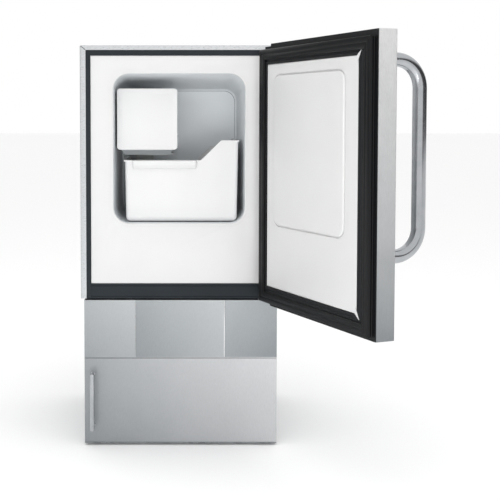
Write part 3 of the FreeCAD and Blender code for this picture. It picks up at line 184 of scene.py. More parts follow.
def leave_edit() -> None:
    """Go back to object mode."""
    bpy.ops.object.mode_set(mode="OBJECT")


def bevel(piece: bpy.types.Object, width: float, segments: int,
          wanted: Callable[[Vector, Vector], bool]) -> None:
    """Round the wanted edges of a piece."""
    pick(piece, "EDGE", wanted)
    bpy.ops.mesh.bevel(offset=width, segments=segments, profile=0.5, affect="EDGES")
    leave_edit()


def apply_modifier(piece: bpy.types.Object, kind: str, **settings: object) -> None:
    """Add a modifier with its settings and apply it.

    Args:
        piece: the mesh object.
        kind: the modifier's type.
        settings: its properties by name.
    """
    activate(piece)
    modifier = piece.modifiers.new(kind.lower(), kind)
    for key, value in settings.items():
        setattr(modifier, key, value)
    bpy.ops.object.modifier_apply(modifier=modifier.name)


def soften_edges(piece: bpy.types.Object, width: float, segments: int = 2, angle: float = 40) -> None:
    """Break every sharp edge of a piece with a small bevel."""
    apply_modifier(piece, "BEVEL", width=width, segments=segments, limit_method="ANGLE",
                   angle_limit=math.radians(angle), harden_normals=False)


def smooth(piece: bpy.types.Object, angle: float = 35) -> None:
    """Shade a piece smooth, keeping edges sharper than an angle."""
    activate(piece)
    bpy.ops.object.shade_smooth_by_angle(angle=math.radians(angle))


def join(name: str, pieces: list[bpy.types.Object]) -> bpy.types.Object:
    """Join several meshes into one named piece."""
    activate(pieces[0])
    for item in pieces[1:]:
        item.select_set(True)
    bpy.ops.object.join()
    piece = bpy.context.object
    piece.name = name
    return piece


def subtract(piece: bpy.types.Object, cutter: bpy.types.Object) -> None:
    """Cut one mesh out of another and drop the cutter."""
    apply_modifier(piece, "BOOLEAN", operation="DIFFERENCE", solver="EXACT", object=cutter)
    bpy.data.objects.remove(cutter)


def weld_outwards() -> None:
    """Weld doubled points of the mesh in edit mode and turn its faces outwards."""
    bpy.ops.mesh.select_all(action="SELECT")
    bpy.ops.mesh.remove_doubles(threshold=0.00001)
    bpy.ops.mesh.normals_make_consistent(inside=False)


def new_torus(middle: Vector, radius: float, thickness: float, sides: tuple[int, int],
              turn: tuple[float, float, float] = (0, 0, 0)) -> bpy.types.Object:
    """Add a ring, such as one ridge of a thread.

    Args:
        middle: its middle.
        radius: the radius of its middle line.
        thickness: the radius of its section.
        sides: how many sides the ring and its section have.
        turn: its turn about each axis.

    Returns:
        The new object, with its place in its mesh.
    """
    deselect()
    bpy.ops.mesh.primitive_torus_add(major_segments=sides[0], minor_segments=sides[1], location=middle,
                                     rotation=turn, major_radius=radius, minor_radius=thickness)
    ring = bpy.context.object
    freeze()
    return ring


def extrude_loop(move: Vector, grow: Vector, centre: Vector) -> None:
    """Extrude the selected edge loop, move it and grow it about a centre by a factor on each axis."""
    bpy.ops.mesh.extrude_edges_move()
    if Vector(move).length > 0:
        bpy.ops.transform.translate(value=move)
    if grow != Vector((1, 1, 1)):
        bpy.ops.transform.resize(value=grow, center_override=centre)


@dataclass(frozen=True)
class Ring:
    """A rectangle square to Y: the outline that a flat or swept piece starts from."""

    left: float
    right: float
    low: float
    high: float

    @property
    def width(self) -> float:
        """Its size across."""
        return self.right - self.left

    @property
    def height(self) -> float:
        """Its size upwards."""
        return self.high - self.low

    @property
    def centre(self) -> Vector:
        """Its middle, at y 0."""
        return Vector(((self.left + self.right) / 2, 0, (self.low + self.high) / 2))

    def inset(self, amount: float) -> "Ring":
        """The rectangle drawn in by an amount on every side."""
        return Ring(self.left + amount, self.right - amount, self.low + amount, self.high - amount)

    def growth_to(self, other: "Ring") -> Vector:
        """The factor on each axis that turns this rectangle into another."""
        return Vector((other.width / self.width, 1, other.height / self.height))


def new_rectangle(name: str, outline: Ring, y: float) -> bpy.types.Object:
    """Add a flat rectangle square to Y."""
    deselect()
    spot = outline.centre + Vector((0, y, 0))
    bpy.ops.mesh.primitive_plane_add(size=1, location=spot, rotation=UPRIGHT_TURN)
    piece = bpy.context.object
    piece.name = name
    piece.dimensions = (outline.width, outline.height, 0)
    freeze()
    return piece


def rounded_loop(name: str, outline: Ring, y: float, radius: float,
                 segments: int = 12) -> bpy.types.Object:
    """Add a flat rectangle square to Y with four round corners."""
    piece = new_rectangle(name, outline, y)
    activate(piece)
    bpy.ops.object.mode_set(mode="EDIT")
    bpy.ops.mesh.select_mode(type="VERT")
    bpy.ops.mesh.select_all(action="SELECT")
    bpy.ops.mesh.bevel(offset=radius, segments=segments, affect="VERTICES")
    leave_edit()
    return piece


def open_loop(piece: bpy.types.Object) -> None:
    """Enter edit mode with a flat piece's face gone and its outline selected."""
    pick(piece, "FACE", lambda middle, normal: True)
    bpy.ops.mesh.delete(type="ONLY_FACE")
    bpy.ops.mesh.select_mode(type="EDGE")
    bpy.ops.mesh.select_all(action="SELECT")


def quarter_turn(steps: int) -> list[float]:
    """Even angles from nought to a quarter turn, both ends included."""
    return [math.pi / 2 * step / steps for step in range(steps + 1)]


def draw_section(outline: Ring, section: list[tuple[float, float]]) -> None:
    """Extrude the selected loop through a section's points, mitred at its corners.

    Args:
        outline: the rectangle that the section is measured from.
        section: its points as (distance in from the outline, y); the loop lies on the first.
    """
    before, before_y = outline.inset(section[0][0]), section[0][1]
    for inset, y in section[1:]:
        after = outline.inset(inset)
        extrude_loop(Vector((0, y - before_y, 0)), before.growth_to(after), outline.centre)
        before, before_y = after, y


def swept_ring(name: str, outline: Ring, section: list[tuple[float, float]]) -> bpy.types.Object:
    """Sweep a closed section round a rectangle, mitred at its corners.

    Args:
        name: the piece's name.
        outline: the outer rectangle.
        section: points of the section as (distance in from the outline, y).

    Returns:
        The new object.
    """
    inset, y = section[0]
    piece = new_rectangle(name, outline.inset(inset), y)
    pick(piece, "EDGE", lambda middle, direction: True)
    bpy.ops.mesh.delete(type="ONLY_FACE")
    bpy.ops.mesh.select_all(action="SELECT")
    draw_section(outline, section + section[:1])
    weld_outwards()
    leave_edit()
    return piece


# ---------------------------------------------------------------- shader nodes


def linear(hex_colour: str) -> tuple[float, float, float, float]:
    """Turn an sRGB hex colour into linear light.

    Args:
        hex_colour: six hex digits with a leading #.

    Returns:
        Linear red, green, blue and an alpha of one.
    """
    channels = [int(hex_colour[start:start + 2], 16) / 255 for start in (1, 3, 5)]
    light = [c / 12.92 if c <= 0.04045 else ((c + 0.055) / 1.055) ** 2.4 for c in channels]
    return light[0], light[1], light[2], 1.0


def add_node(tree: bpy.types.NodeTree, kind: str, settings: dict[str, object] | None = None,
             links: dict[str, bpy.types.NodeSocket] | None = None) -> bpy.types.Node:
    """Add a shader node with its settings and its incoming links.

    Args:
        tree: the material's node tree.
        kind: the node's type name.
        settings: values by property name or input name; an input given by number is "#n".
        links: source sockets by input name or "#n".

    Returns:
        The new node.
    """
    item = tree.nodes.new(kind)

    def socket(key: str) -> bpy.types.NodeSocket:
        """The input with this name, or with this number when it is "#n"."""
        return item.inputs[int(key[1:])] if key.startswith("#") else item.inputs[key]

    for key, value in (settings or {}).items():
        if not key.startswith("#") and key not in item.inputs and hasattr(item, key):
            setattr(item, key, value)
        else:
            socket(key).default_value = value
    for key, source in (links or {}).items():
        tree.links.new(source, socket(key))
    return item


class Grain(Enum):
    """The direction in which a metal sheet was brushed."""

    UPRIGHT = (1.0, 1.0, 0.15)
    ACROSS = (0.15, 1.0, 1.0)
    DEPTHWISE = (1.0, 0.15, 1.0)


class Finish:
    """A surface with its own material, made once and shared by the pieces that have it."""

    def __init__(self, name: str, slot: str) -> None:
        """Start a material with a shader and an output.

        Args:
            name: the material's name.
            slot: the record's material slot that it belongs to; it is stored and not used.
        """
        self.slot = slot
        self.material = bpy.data.materials.new(name)
        self.material.use_nodes = True
        self.tree = self.material.node_tree
        self.tree.nodes.clear()
        self.shader = add_node(self.tree, "ShaderNodeBsdfPrincipled")
        add_node(self.tree, "ShaderNodeOutputMaterial", links={"Surface": self.shader.outputs["BSDF"]})
        place = add_node(self.tree, "ShaderNodeTexCoord")
        self.place = place.outputs["Object"]

    def set(self, **values: object) -> None:
        """Set shader inputs; underscores in names stand for spaces."""
        for key, value in values.items():
            self.shader.inputs[key.replace("_", " ")].default_value = value

    def feed(self, name: str, source: bpy.types.NodeSocket) -> None:
        """Link a socket to a shader input."""
        self.tree.links.new(source, self.shader.inputs[name])

    def pattern(self, size_mm: float, stretch: tuple[float, float, float] = (1, 1, 1),
                detail: float = 2, roughness: float = 0.5) -> bpy.types.NodeSocket:
        """A noise of a real feature size.

        Args:
            size_mm: the size of one feature.
            stretch: the noise's rate on each axis; a small value draws it out along that axis.
            detail: how many finer octaves it has.
            roughness: how strong these are.

        Returns:
            The noise's factor.
        """
        rate = 1 / (size_mm * MM)
        place = add_node(self.tree, "ShaderNodeMapping", {"Scale": tuple(rate * s for s in stretch)},
                         {"Vector": self.place})
        noise = add_node(self.tree, "ShaderNodeTexNoise",
                         {"Scale": 1.0, "Detail": detail, "Roughness": roughness},
                         {"Vector": place.outputs["Vector"]})
        return noise.outputs["Fac"]

    def span(self, source: bpy.types.NodeSocket, low: float, high: float,
             from_low: float = 0.3, from_high: float = 0.7) -> bpy.types.NodeSocket:
        """Map a factor from its usual range to another."""
        remap = add_node(self.tree, "ShaderNodeMapRange",
                         {"From Min": from_low, "From Max": from_high, "To Min": low, "To Max": high},
                         {"Value": source})
        return remap.outputs["Result"]

    def tint(self, source: bpy.types.NodeSocket, dark: str, light: str) -> bpy.types.NodeSocket:
        """Colour a factor between two hex colours."""
        mix = add_node(self.tree, "ShaderNodeMix", {"data_type": "RGBA", "#6": linear(dark),
                                                    "#7": linear(light)}, {"#0": source})
        return mix.outputs[2]

    def relief(self, source: bpy.types.NodeSocket, depth_mm: float, strength: float = 1.0,
               under: bpy.types.NodeSocket | None = None) -> bpy.types.NodeSocket:
        """Raise the surface by a factor times a real depth, over another relief if given."""
        links = {"Height": source}
        if under is not None:
            links["Normal"] = under
        bump = add_node(self.tree, "ShaderNodeBump", {"Distance": depth_mm * MM, "Strength": strength},
                        links)
        return bump.outputs["Normal"]

    def dress(self, *pieces: bpy.types.Object) -> None:
        """Give pieces this material."""
        for piece in pieces:
            piece.data.materials.clear()
            piece.data.materials.append(self.material)


class BrushedSteel(Finish):
    """Stainless sheet, belt brushed: fine lines along the grain, a soft satin reflection, and painted
    shade and reflection as a colour ramp from dark to light across the sheet.
    """

    def __init__(self, name: str, slot: str, dark: str, light: str, grain: Grain,
                 start: Vector, end: Vector, roughness: float = 0.38) -> None:
        """Build the material.

        Args:
            name: the material's name.
            slot: the record's material slot.
            dark: the tone at start, where the painted shade is deepest.
            light: the tone at end, where the painted reflection is brightest.
            grain: the brushing's direction.
            start: the point where the painted shade is darkest.
            end: the point where the painted reflection is lightest.
            roughness: the mean roughness.
        """
        super().__init__(name, slot)
        # Painted shade and reflection: the colour ramps from the dark tone at start to the light tone at
        # end, with a faint random mottle added.
        start, end = Vector(start), Vector(end)
        axis = end - start
        shift = add_node(self.tree, "ShaderNodeVectorMath",
                         {"operation": "SUBTRACT", "#1": tuple(start)}, {"#0": self.place})
        painted_shade_ramp = add_node(self.tree, "ShaderNodeVectorMath",
                       {"operation": "DOT_PRODUCT", "#1": tuple(axis / axis.length_squared)},
                       {"#0": shift.outputs["Vector"]})
        lines = self.pattern(1.3, grain.value, detail=4, roughness=0.65)
        cloud = self.pattern(60, (1, 1, 1), detail=2)
        mottled = add_node(self.tree, "ShaderNodeMath", {"operation": "MULTIPLY_ADD", "#1": 0.12,
                                                         "#2": -0.06}, {"#0": cloud})
        painted_shade_and_mottle = add_node(self.tree, "ShaderNodeMath", {"operation": "ADD", "use_clamp": True},
                        {"#0": painted_shade_ramp.outputs["Value"], "#1": mottled.outputs["Value"]})
        sheet = self.tint(painted_shade_and_mottle.outputs["Value"], dark, light)
        streak = add_node(self.tree, "ShaderNodeMix",
                          {"data_type": "RGBA", "blend_type": "MULTIPLY", "#0": 1.0},
                          {"#6": sheet, "#7": self.span(lines, 0.93, 1.05)})
        self.feed("Base Color", streak.outputs[2])
        self.feed("Roughness", self.span(lines, roughness - 0.06, roughness + 0.08))
        self.feed("Normal", self.relief(lines, 0.02, 0.5))
        self.set(Metallic=0.85)


class MouldedPlastic(Finish):
    """Moulded or vacuum-formed sheet plastic: even colour, faint orange peel, soft gloss."""

    def __init__(self, name: str, slot: str, dark: str, light: str, roughness: float,
                 peel_mm: float = 1.6, depth_mm: float = 0.012, coat: float = 0.15,
                 gloss: float = 0.5) -> None:
        """Build the material.

        Args:
            name: the material's name.
            slot: the record's material slot.
            dark: the darker of its two close tones.
            light: the lighter one.
            roughness: the mean roughness.
            peel_mm: the size of the orange peel's features.
            depth_mm: its depth.
            coat: how much clear gloss lies on it.
            gloss: how strongly it mirrors; dark textured grades mirror less.
        """
        super().__init__(name, slot)
        self.feed("Base Color", self.tint(self.pattern(90), dark, light))
        peel = self.pattern(peel_mm, detail=3)
        self.feed("Roughness", self.span(peel, roughness - 0.04, roughness + 0.05))
        self.feed("Normal", self.relief(peel, depth_mm, 0.6))
        self.set(IOR=1.5, Specular_IOR_Level=gloss, Coat_Weight=coat, Coat_Roughness=0.25)


class SoftVinyl(Finish):
    """Black extruded vinyl or rubber: matt, with faint drag lines, a little lighter where they rise."""

    def __init__(self, name: str, slot: str, dark: str, light: str, roughness: float) -> None:
        """Build the material from two close tones and a roughness."""
        super().__init__(name, slot)
        drag = self.pattern(2.2, (1, 1, 1), detail=4)
        self.feed("Base Color", self.tint(drag, dark, light))
        self.feed("Roughness", self.span(drag, roughness - 0.08, roughness + 0.08))
        self.feed("Normal", self.relief(drag, 0.03, 0.5))
        self.set(IOR=1.5, Specular_IOR_Level=0.22)


class GalvanisedSheet(Finish):
    """Zinc-dipped sheet: pale crystal spangles a few millimetres wide."""

    def __init__(self, name: str, slot: str, dark: str, light: str, spangle_mm: float = 9) -> None:
        """Build the material from two tones and the spangle's size."""
        super().__init__(name, slot)
        rate = 1 / (spangle_mm * MM)
        place = add_node(self.tree, "ShaderNodeMapping", {"Scale": (rate, rate, rate)},
                         {"Vector": self.place})
        cells = add_node(self.tree, "ShaderNodeTexVoronoi", {"Scale": 1.0},
                         {"Vector": place.outputs["Vector"]})
        flake = add_node(self.tree, "ShaderNodeSeparateColor", links={"Color": cells.outputs["Color"]})
        self.feed("Base Color", self.tint(flake.outputs["Red"], dark, light))
        self.feed("Roughness", self.span(flake.outputs["Green"], 0.34, 0.52, 0, 1))
        self.feed("Normal", self.relief(self.pattern(1.1, detail=3), 0.02, 0.5))
        self.set(Metallic=0.85)


class GroundMetal(Finish):
    """Ground, cast or drawn metal: a fine even grain with a few duller patches."""

    def __init__(self, name: str, slot: str, dark: str, light: str, roughness: float,
                 grain_mm: float = 0.9, metallic: float = 1.0) -> None:
        """Build the material.

        Args:
            name: the material's name.
            slot: the record's material slot.
            dark: tone of the duller patches.
            light: tone of the clean metal.
            roughness: the mean roughness.
            grain_mm: size of the grain.
            metallic: one for bare metal, less under a thin oxide.
        """
        super().__init__(name, slot)
        grain = self.pattern(grain_mm, detail=4)
        patches = self.pattern(26, detail=3)
        self.feed("Base Color", self.tint(self.span(patches, 0, 1), dark, light))
        self.feed("Roughness", self.span(grain, roughness - 0.06, roughness + 0.1))
        self.feed("Normal", self.relief(grain, 0.015, 0.5))
        self.set(Metallic=metallic)


class BakedEnamel(Finish):
    """Baked enamel on steel: a hard gloss over a slightly wavy coat."""

    def __init__(self, name: str, slot: str, dark: str, light: str) -> None:
        """Build the material from two close tones."""
        super().__init__(name, slot)
        self.feed("Base Color", self.tint(self.pattern(30), dark, light))
        self.feed("Roughness", self.span(self.pattern(6, detail=4), 0.28, 0.42))
        self.feed("Normal", self.relief(self.pattern(5), 0.03, 0.5))
        self.set(Coat_Weight=0.4, Coat_Roughness=0.2)


class RigidFoam(Finish):
    """Poured polyurethane foam: cream, with open cells about a millimetre wide."""

    def __init__(self, name: str, slot: str) -> None:
        """Build the material."""
        super().__init__(name, slot)
        cells = self.pattern(1.4, detail=5, roughness=0.7)
        self.feed("Base Color", self.tint(cells, "#C9B27A", "#EADBAA"))
        self.feed("Normal", self.relief(cells, 0.3, 0.8))
        self.set(Roughness=0.9)


@dataclass
class Finishes:
    """Every finish of the ice maker, made once."""

    def __post_init__(self) -> None:
        """Make the materials, each with a comment that says what the real one is."""
        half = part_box("cabinet_shell")[1].x
        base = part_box("pedestal_shell")[1].x
        kick_low, kick_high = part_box("kick_panel_centre")
        door_low, door_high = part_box("storage_door_skin")
        pan_low, pan_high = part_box("door_skin")
        steel, upright_grain = "satin_steel", Grain.UPRIGHT
        # Wrapper and pedestal: satin stainless sheet, brushed from front to back, with painted shade that
        # darkens it towards the floor and painted reflection that lightens it towards the top.
        self.side_steel = BrushedSteel("brushed_side_steel", steel, "#8F9396", "#B9BCBE",
                                       Grain.DEPTHWISE, (0, 0, 0), (0, 0, pan_high.z))
        # Left kick panel: folded satin stainless sheet in its own tones, one of three lit and shaded
        # copies, with painted shade and reflection, darker at its lower left and lighter at its upper
        # right.
        self.kick_left = BrushedSteel("brushed_kick_left", steel, "#989C9F", "#B4B7B9", upright_grain,
                                      (-base, 0, kick_low.z), (kick_low.x, 0, kick_high.z))
        # Centre kick panel: the same sheet, a lit copy in its own tones, with painted shade and
        # reflection, darker at its lower left and lighter at its upper right.
        self.kick_centre = BrushedSteel("brushed_kick_centre", steel, "#8C9194", "#B7BABC",
                                        upright_grain, (kick_low.x, 0, kick_low.z),
                                        (kick_high.x, 0, kick_high.z))
        # Right kick panel: the same sheet, a shaded copy in darker tones, with painted shade and
        # reflection, darker at its lower right and lighter at its upper left.
        self.kick_right = BrushedSteel("brushed_kick_right", steel, "#8A8F92", "#A9ADB0",
                                       upright_grain, (base, 0, kick_low.z),
                                       (kick_high.x, 0, kick_high.z))
        # Storage door: satin stainless sheet, brushed upright, with painted shade and reflection, darker
        # at its lower left and lighter at its upper right.
        self.storage_steel = BrushedSteel("brushed_storage_door", steel, "#8F9396", "#CBCCCE",
                                          upright_grain, (-base, 0, door_low.z), (base, 0, door_high.z))
        # Main door's pan: satin stainless sheet, brushed upright, with painted shade at the bottom and
        # painted reflection rising to near white at the top.
        self.door_steel = BrushedSteel("brushed_main_door", steel, "#8C9093", "#FCFCFC",
                                       upright_grain, (0, 0, pan_low.z), (0, 0, pan_high.z))
        # Front trim: satin stainless strip, brushed across, with faint painted shade at its lower left
        # and painted reflection at its upper right.
        self.trim = BrushedSteel("satin_trim", "trim_metal", "#C3C6C8", "#D6D8DA", Grain.ACROSS,
                                 (-half, 0, pan_low.z), (half, 0, pan_high.z), 0.3)
        # Fold between two kick panels: stainless edge, near white as a painted highlight.
        self.painted_highlight = GroundMetal("painted_highlight_fold", "trim_metal", "#E4E5E6", "#F2F3F3", 0.2)
        # Handles: ground and polished stainless tube.
        self.handle = GroundMetal("ground_handle_tube", "handle_steel", "#A9ACAF", "#B6B8BB", 0.12, 0.8)
        # Hinge plates, pins, screws and bracket: zinc-plated mild steel.
        self.plated = GroundMetal("zinc_plate", "plated_steel", "#B4B7B9", "#D3D5D7", 0.34,
                                  metallic=0.5)
        # Rear panel, base pan and shroud: hot-dip galvanised sheet.
        self.galvanised = GalvanisedSheet("galvanised_sheet", "galvanised_steel", "#8E9294", "#B2B6B8")
        # Compressor and fan motor: black baked enamel on steel.
        self.enamel = BakedEnamel("black_enamel", "black_enamel", "#0B0B0C", "#17181A")
        # Thermal-break strips and sill: charcoal extruded rigid vinyl.
        self.charcoal = MouldedPlastic("charcoal_strip", "charcoal_plastic", "#202427", "#2A2F33", 0.55,
                                       2.0, 0.02, 0, 0.15)
        # Cabinet's face sheet: white vacuum-formed polystyrene.
        self.liner = MouldedPlastic("white_formed_sheet", "white_liner", "#CACACA", "#D0D0D0", 0.4)
        # Door's liner: the same sheet.
        self.door_liner = MouldedPlastic("white_door_sheet", "white_liner", "#D1D1D1", "#D7D7D7", 0.42)
        # Ice compartment: pale grey vacuum-formed polystyrene, given a tone lighter than the white face
        # sheet as painted light against the shade inside the compartment.
        self.tub = MouldedPlastic("grey_formed_tub", "grey_tub", "#E4E8EB", "#EBEFF1", 0.4)
        # Seam round its back wall: the same sheet, drawn thin, dark grey as painted shadow.
        self.seam = MouldedPlastic("tub_seam", "grey_tub", "#7F868A", "#8E9599", 0.5)
        # Ice bin and module's cover: white injection-moulded polypropylene.
        self.white = MouldedPlastic("white_moulding", "white_plastic", "#D0D0D0", "#D6D6D6", 0.34)
        # Gearbox housing, shaft and guard: light grey glass-filled moulding.
        self.grey = MouldedPlastic("grey_moulding", "grey_plastic", "#A7ACAF", "#B5B9BC", 0.5)
        # Gasket retainer, fan blade and feet: black moulded polypropylene.
        self.black = MouldedPlastic("black_moulding", "black_plastic", "#141516", "#1E2022", 0.5,
                                    coat=0, gloss=0.2)
        # Hinge bushes: unfilled natural nylon.
        self.nylon = MouldedPlastic("natural_nylon", "nylon", "#E2DED0", "#EDEAE0", 0.45)
        # Door gasket: black extruded soft vinyl over a magnet strip.
        self.vinyl = SoftVinyl("black_vinyl", "black_vinyl", "#08090A", "#131416", 0.45)
        # Compressor's grommets: black natural rubber.
        self.rubber = SoftVinyl("black_rubber", "black_rubber", "#0E0E0F", "#1B1C1D", 0.7)
        # Insulation: poured polyurethane foam.
        self.foam = RigidFoam("rigid_foam", "foam")
        # Ice mould, evaporator and fins: bare aluminium.
        self.cast = GroundMetal("cast_aluminium", "cast_aluminium", "#85898C", "#A9ADB0", 0.42, 1.4)
        # Cooling pipes and drier: drawn copper.
        self.copper = GroundMetal("drawn_copper", "copper", "#8E4F33", "#C47B55", 0.3, 1.0)
        # Fill tube and inlet valve: white polyethylene.
        self.hose = MouldedPlastic("white_hose", "white_tube", "#E6E6E2", "#F2F2EE", 0.5)


# ---------------------------------------------------------------- sub-assemblies


@dataclass
class SubAssembly:
    """Shared work of every sub-assembly: attaching and dressing its pieces."""

    finishes: Finishes
    body: str = "cabinet"

    def place(self, piece: bpy.types.Object, finish: Finish, *nodes: str) -> bpy.types.Object:
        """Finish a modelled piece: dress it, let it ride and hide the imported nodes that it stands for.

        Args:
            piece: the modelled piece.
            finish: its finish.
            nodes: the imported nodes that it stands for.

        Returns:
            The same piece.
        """
        finish.dress(piece)
        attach(piece, self.body)
        if nodes:
            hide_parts(*nodes)
        LOG.info("%s rides on %s", piece.name, self.body)
        return piece

    def keep(self, finish: Finish, *nodes: str) -> None:
        """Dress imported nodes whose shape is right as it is."""
        for name in nodes:
            finish.dress(frame["nodes"][name])
            LOG.info("%s keeps its packed shape", name)


@dataclass
class Cabinet(SubAssembly):
    """Wrapper, trim, strips, sill, kick panels and rear panel."""

    rim: float = 3.2 * MM
    roll_depth: float = 0.6
    tub_wall: float = 2.5 * MM
    mouth_radius: float = 30 * MM

    def build(self) -> None:
        """Model the front face and dress the casing."""
        self.make_liner_face()
        self.make_compartment()
        self.make_sill()
        self.make_trim()
        self.make_kick_fold()
        self.make_rear()
        looks = self.finishes
        self.keep(looks.side_steel, "cabinet_shell")
        self.keep(looks.charcoal, "breaker_strips")
        self.keep(looks.kick_left, "kick_panel_left")
        self.keep(looks.kick_centre, "kick_panel_centre")
        self.keep(looks.kick_right, "kick_panel_right")
        self.keep(looks.foam, "cabinet_foam")
        self.keep(looks.galvanised, "base_pan", "rear_panel")
        self.keep(looks.plated, "upper_hinge_plate", "lower_hinge_plate", "hinge_pins")

    def mouth(self) -> Ring:
        """The outline of the compartment's mouth."""
        low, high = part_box("ice_compartment_tub")
        return Ring(low.x, high.x, low.z, high.z).inset(self.tub_wall)

    def make_liner_face(self) -> None:
        """White face sheet whose round mouth rolls softly inwards."""
        low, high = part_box("liner_face")
        rim = self.rim
        hole, radius = self.mouth().inset(-rim), self.mouth_radius + rim
        sheet = rounded_loop("liner_face_sheet", Ring(low.x, high.x, low.z, high.z), low.y, 0.5 * MM, 1)
        cutter = rounded_loop("mouth_cutter", hole, low.y - REACH, radius)
        apply_modifier(cutter, "SOLIDIFY", thickness=2 * REACH, offset=-1)
        cutter_low = min(vert.co.y for vert in cutter.data.vertices)
        if cutter_low < low.y - 1.5 * REACH:
            cutter.data.transform(Matrix.Translation((0, low.y - REACH - cutter_low, 0)))
        apply_modifier(sheet, "SOLIDIFY", thickness=1.2 * MM, offset=-1)
        subtract(sheet, cutter)
        soften_edges(sheet, 0.3 * MM, 2, 60)
        smooth(sheet)
        self.place(sheet, self.finishes.liner, "liner_face")
        roll = rounded_loop("liner_mouth_roll", hole, low.y, radius)
        open_loop(roll)
        draw_section(hole, [(rim * math.sin(angle), low.y + rim * (1 - math.cos(angle)) * self.roll_depth)
                            for angle in quarter_turn(8)])
        leave_edit()
        apply_modifier(roll, "SOLIDIFY", thickness=0.8 * MM, offset=0)
        smooth(roll, 60)
        self.place(roll, self.finishes.liner)

    def make_compartment(self) -> None:
        """Pale grey compartment: tapering walls, soft inner corners and a flat back."""
        mouth = self.mouth()
        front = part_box("liner_face")[0].y + self.rim * self.roll_depth
        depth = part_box("ice_compartment_tub")[1].y - self.tub_wall - front
        side_taper, top_taper, blend = 5 * MM, 24 * MM, 5 * MM
        straight = depth - blend
        share = straight / depth
        rear = Ring(mouth.left + side_taper * share, mouth.right - side_taper * share, mouth.low,
                    mouth.high - top_taper * share)
        piece = rounded_loop("compartment_lining", mouth, front, self.mouth_radius)
        open_loop(piece)
        extrude_loop(Vector((0, straight, 0)), mouth.growth_to(rear),
                     Vector((mouth.centre.x, 0, mouth.low)))
        draw_section(rear, [(blend * (1 - math.cos(angle)), front + straight + blend * math.sin(angle))
                            for angle in quarter_turn(6)])
        bpy.ops.mesh.edge_face_add()
        bpy.ops.mesh.select_all(action="SELECT")
        bpy.ops.mesh.normals_make_consistent(inside=True)
        leave_edit()
        apply_modifier(piece, "SOLIDIFY", thickness=2.0 * MM, offset=-1)
        smooth(piece, 40)
        self.place(piece, self.finishes.tub, "ice_compartment_tub")
        self.make_seam(rear.inset(blend), front + depth)

    def make_seam(self, outline: Ring, back: float) -> None:
        """Fine raised seam round the back wall, where the sheet was drawn tight over the tool, dark grey
        as painted shadow.

        Args:
            outline: the back wall's flat part.
            back: the back wall's plane.
        """
        width, radius, rise, thickness = 0.9 * MM, 24 * MM, 0.35 * MM, 0.5 * MM
        seam = rounded_loop("back_wall_seam", outline, back - rise, radius)
        open_loop(seam)
        extrude_loop(Vector((0, 0, 0)), outline.growth_to(outline.inset(width)), outline.centre)
        leave_edit()
        apply_modifier(seam, "SOLIDIFY", thickness=thickness, offset=0)
        smooth(seam)
        self.place(seam, self.finishes.seam)

    def make_sill(self) -> None:
        """Black sill with a shallow step along its top and a groove along its bottom."""
        low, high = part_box("front_sill")
        sill = new_cube("sill_strip", low, high)
        for height in (low.z + 4 * MM, high.z - 5 * MM):
            cutter = new_cube("sill_groove", (low.x - REACH, low.y - REACH, height - 0.7 * MM),
                              (high.x + REACH, low.y + 1.2 * MM, height + 0.7 * MM))
            subtract(sill, cutter)
        soften_edges(sill, 0.5 * MM, 3)
        smooth(sill)
        self.place(sill, self.finishes.charcoal, "front_sill")

    def make_trim(self) -> None:
        """Three metal bars with an outer bevel, mitred at the corners with a fine open joint."""
        low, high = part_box("front_trim")
        legs_in = high.x - 11.5 * MM
        head_in = high.z - 9.4 * MM
        joint = 0.55 * MM
        bars = []
        for side in (-1, 1):
            inner, outer = sorted((side * legs_in, side * high.x))
            leg = new_cube("leg", (inner, low.y, low.z), (outer, high.y, high.z))
            self.mitre(leg, Vector((side * high.x, 0, high.z)), Vector((side, 0, 1)) * -1, side,
                       high.x - legs_in, high.z - head_in, joint)
            edge = side * high.x
            bevel(leg, 2.2 * MM, 3, lambda spot, way, edge=edge: upright(spot, way) and abs(
                spot.x - edge) < NEAR and spot.y < low.y + NEAR)
            bars.append(leg)
        head = new_cube("head", (low.x, low.y, head_in), (high.x, high.y, high.z))
        for side in (-1, 1):
            self.mitre(head, Vector((side * high.x, 0, high.z)), Vector((side, 0, 1)), side,
                       high.x - legs_in, high.z - head_in, joint)
        bevel(head, 2.2 * MM, 3, lambda spot, way: abs(way.x) > 0.9 and spot.z > high.z - NEAR
              and spot.y < low.y + NEAR)
        for side in (-1, 1):
            left, right = sorted((side * (legs_in + 0.5 * MM), side * (high.x - 2.5 * MM)))
            gusset = new_cube(f"corner_gusset_{'left' if side < 0 else 'right'}",
                              (left, low.y + 1.5 * MM, head_in + 0.5 * MM),
                              (right, low.y + 5 * MM, high.z - 2.5 * MM))
            self.place(gusset, self.finishes.charcoal)
        trim = join("mitred_trim", bars + [head])
        smooth(trim, 30)
        self.place(trim, self.finishes.trim, "front_trim")

    def mitre(self, bar: bpy.types.Object, corner: Vector, keep: Vector, side: int, width: float,
              height: float, joint: float) -> None:
        """Cut a bar's end along the diagonal of the trim's corner.

        Args:
            bar: the bar.
            corner: the trim's outer corner.
            keep: which side of the cut stays: towards +Z for the head, -Z for a leg.
            side: -1 for the left corner, 1 for the right one.
            width: the legs' width.
            height: the head's height.
            joint: half the open joint.
        """
        normal = Vector((-side * height, 0, width)).normalized()
        if keep.z < 0:
            normal = -normal
        activate(bar)
        bpy.ops.object.mode_set(mode="EDIT")
        bpy.ops.mesh.select_all(action="SELECT")
        bpy.ops.mesh.bisect(plane_co=corner + normal * joint, plane_no=normal, use_fill=True,
                            clear_inner=True)
        bpy.ops.mesh.select_all(action="SELECT")
        bpy.ops.mesh.normals_make_consistent(inside=False)
        leave_edit()

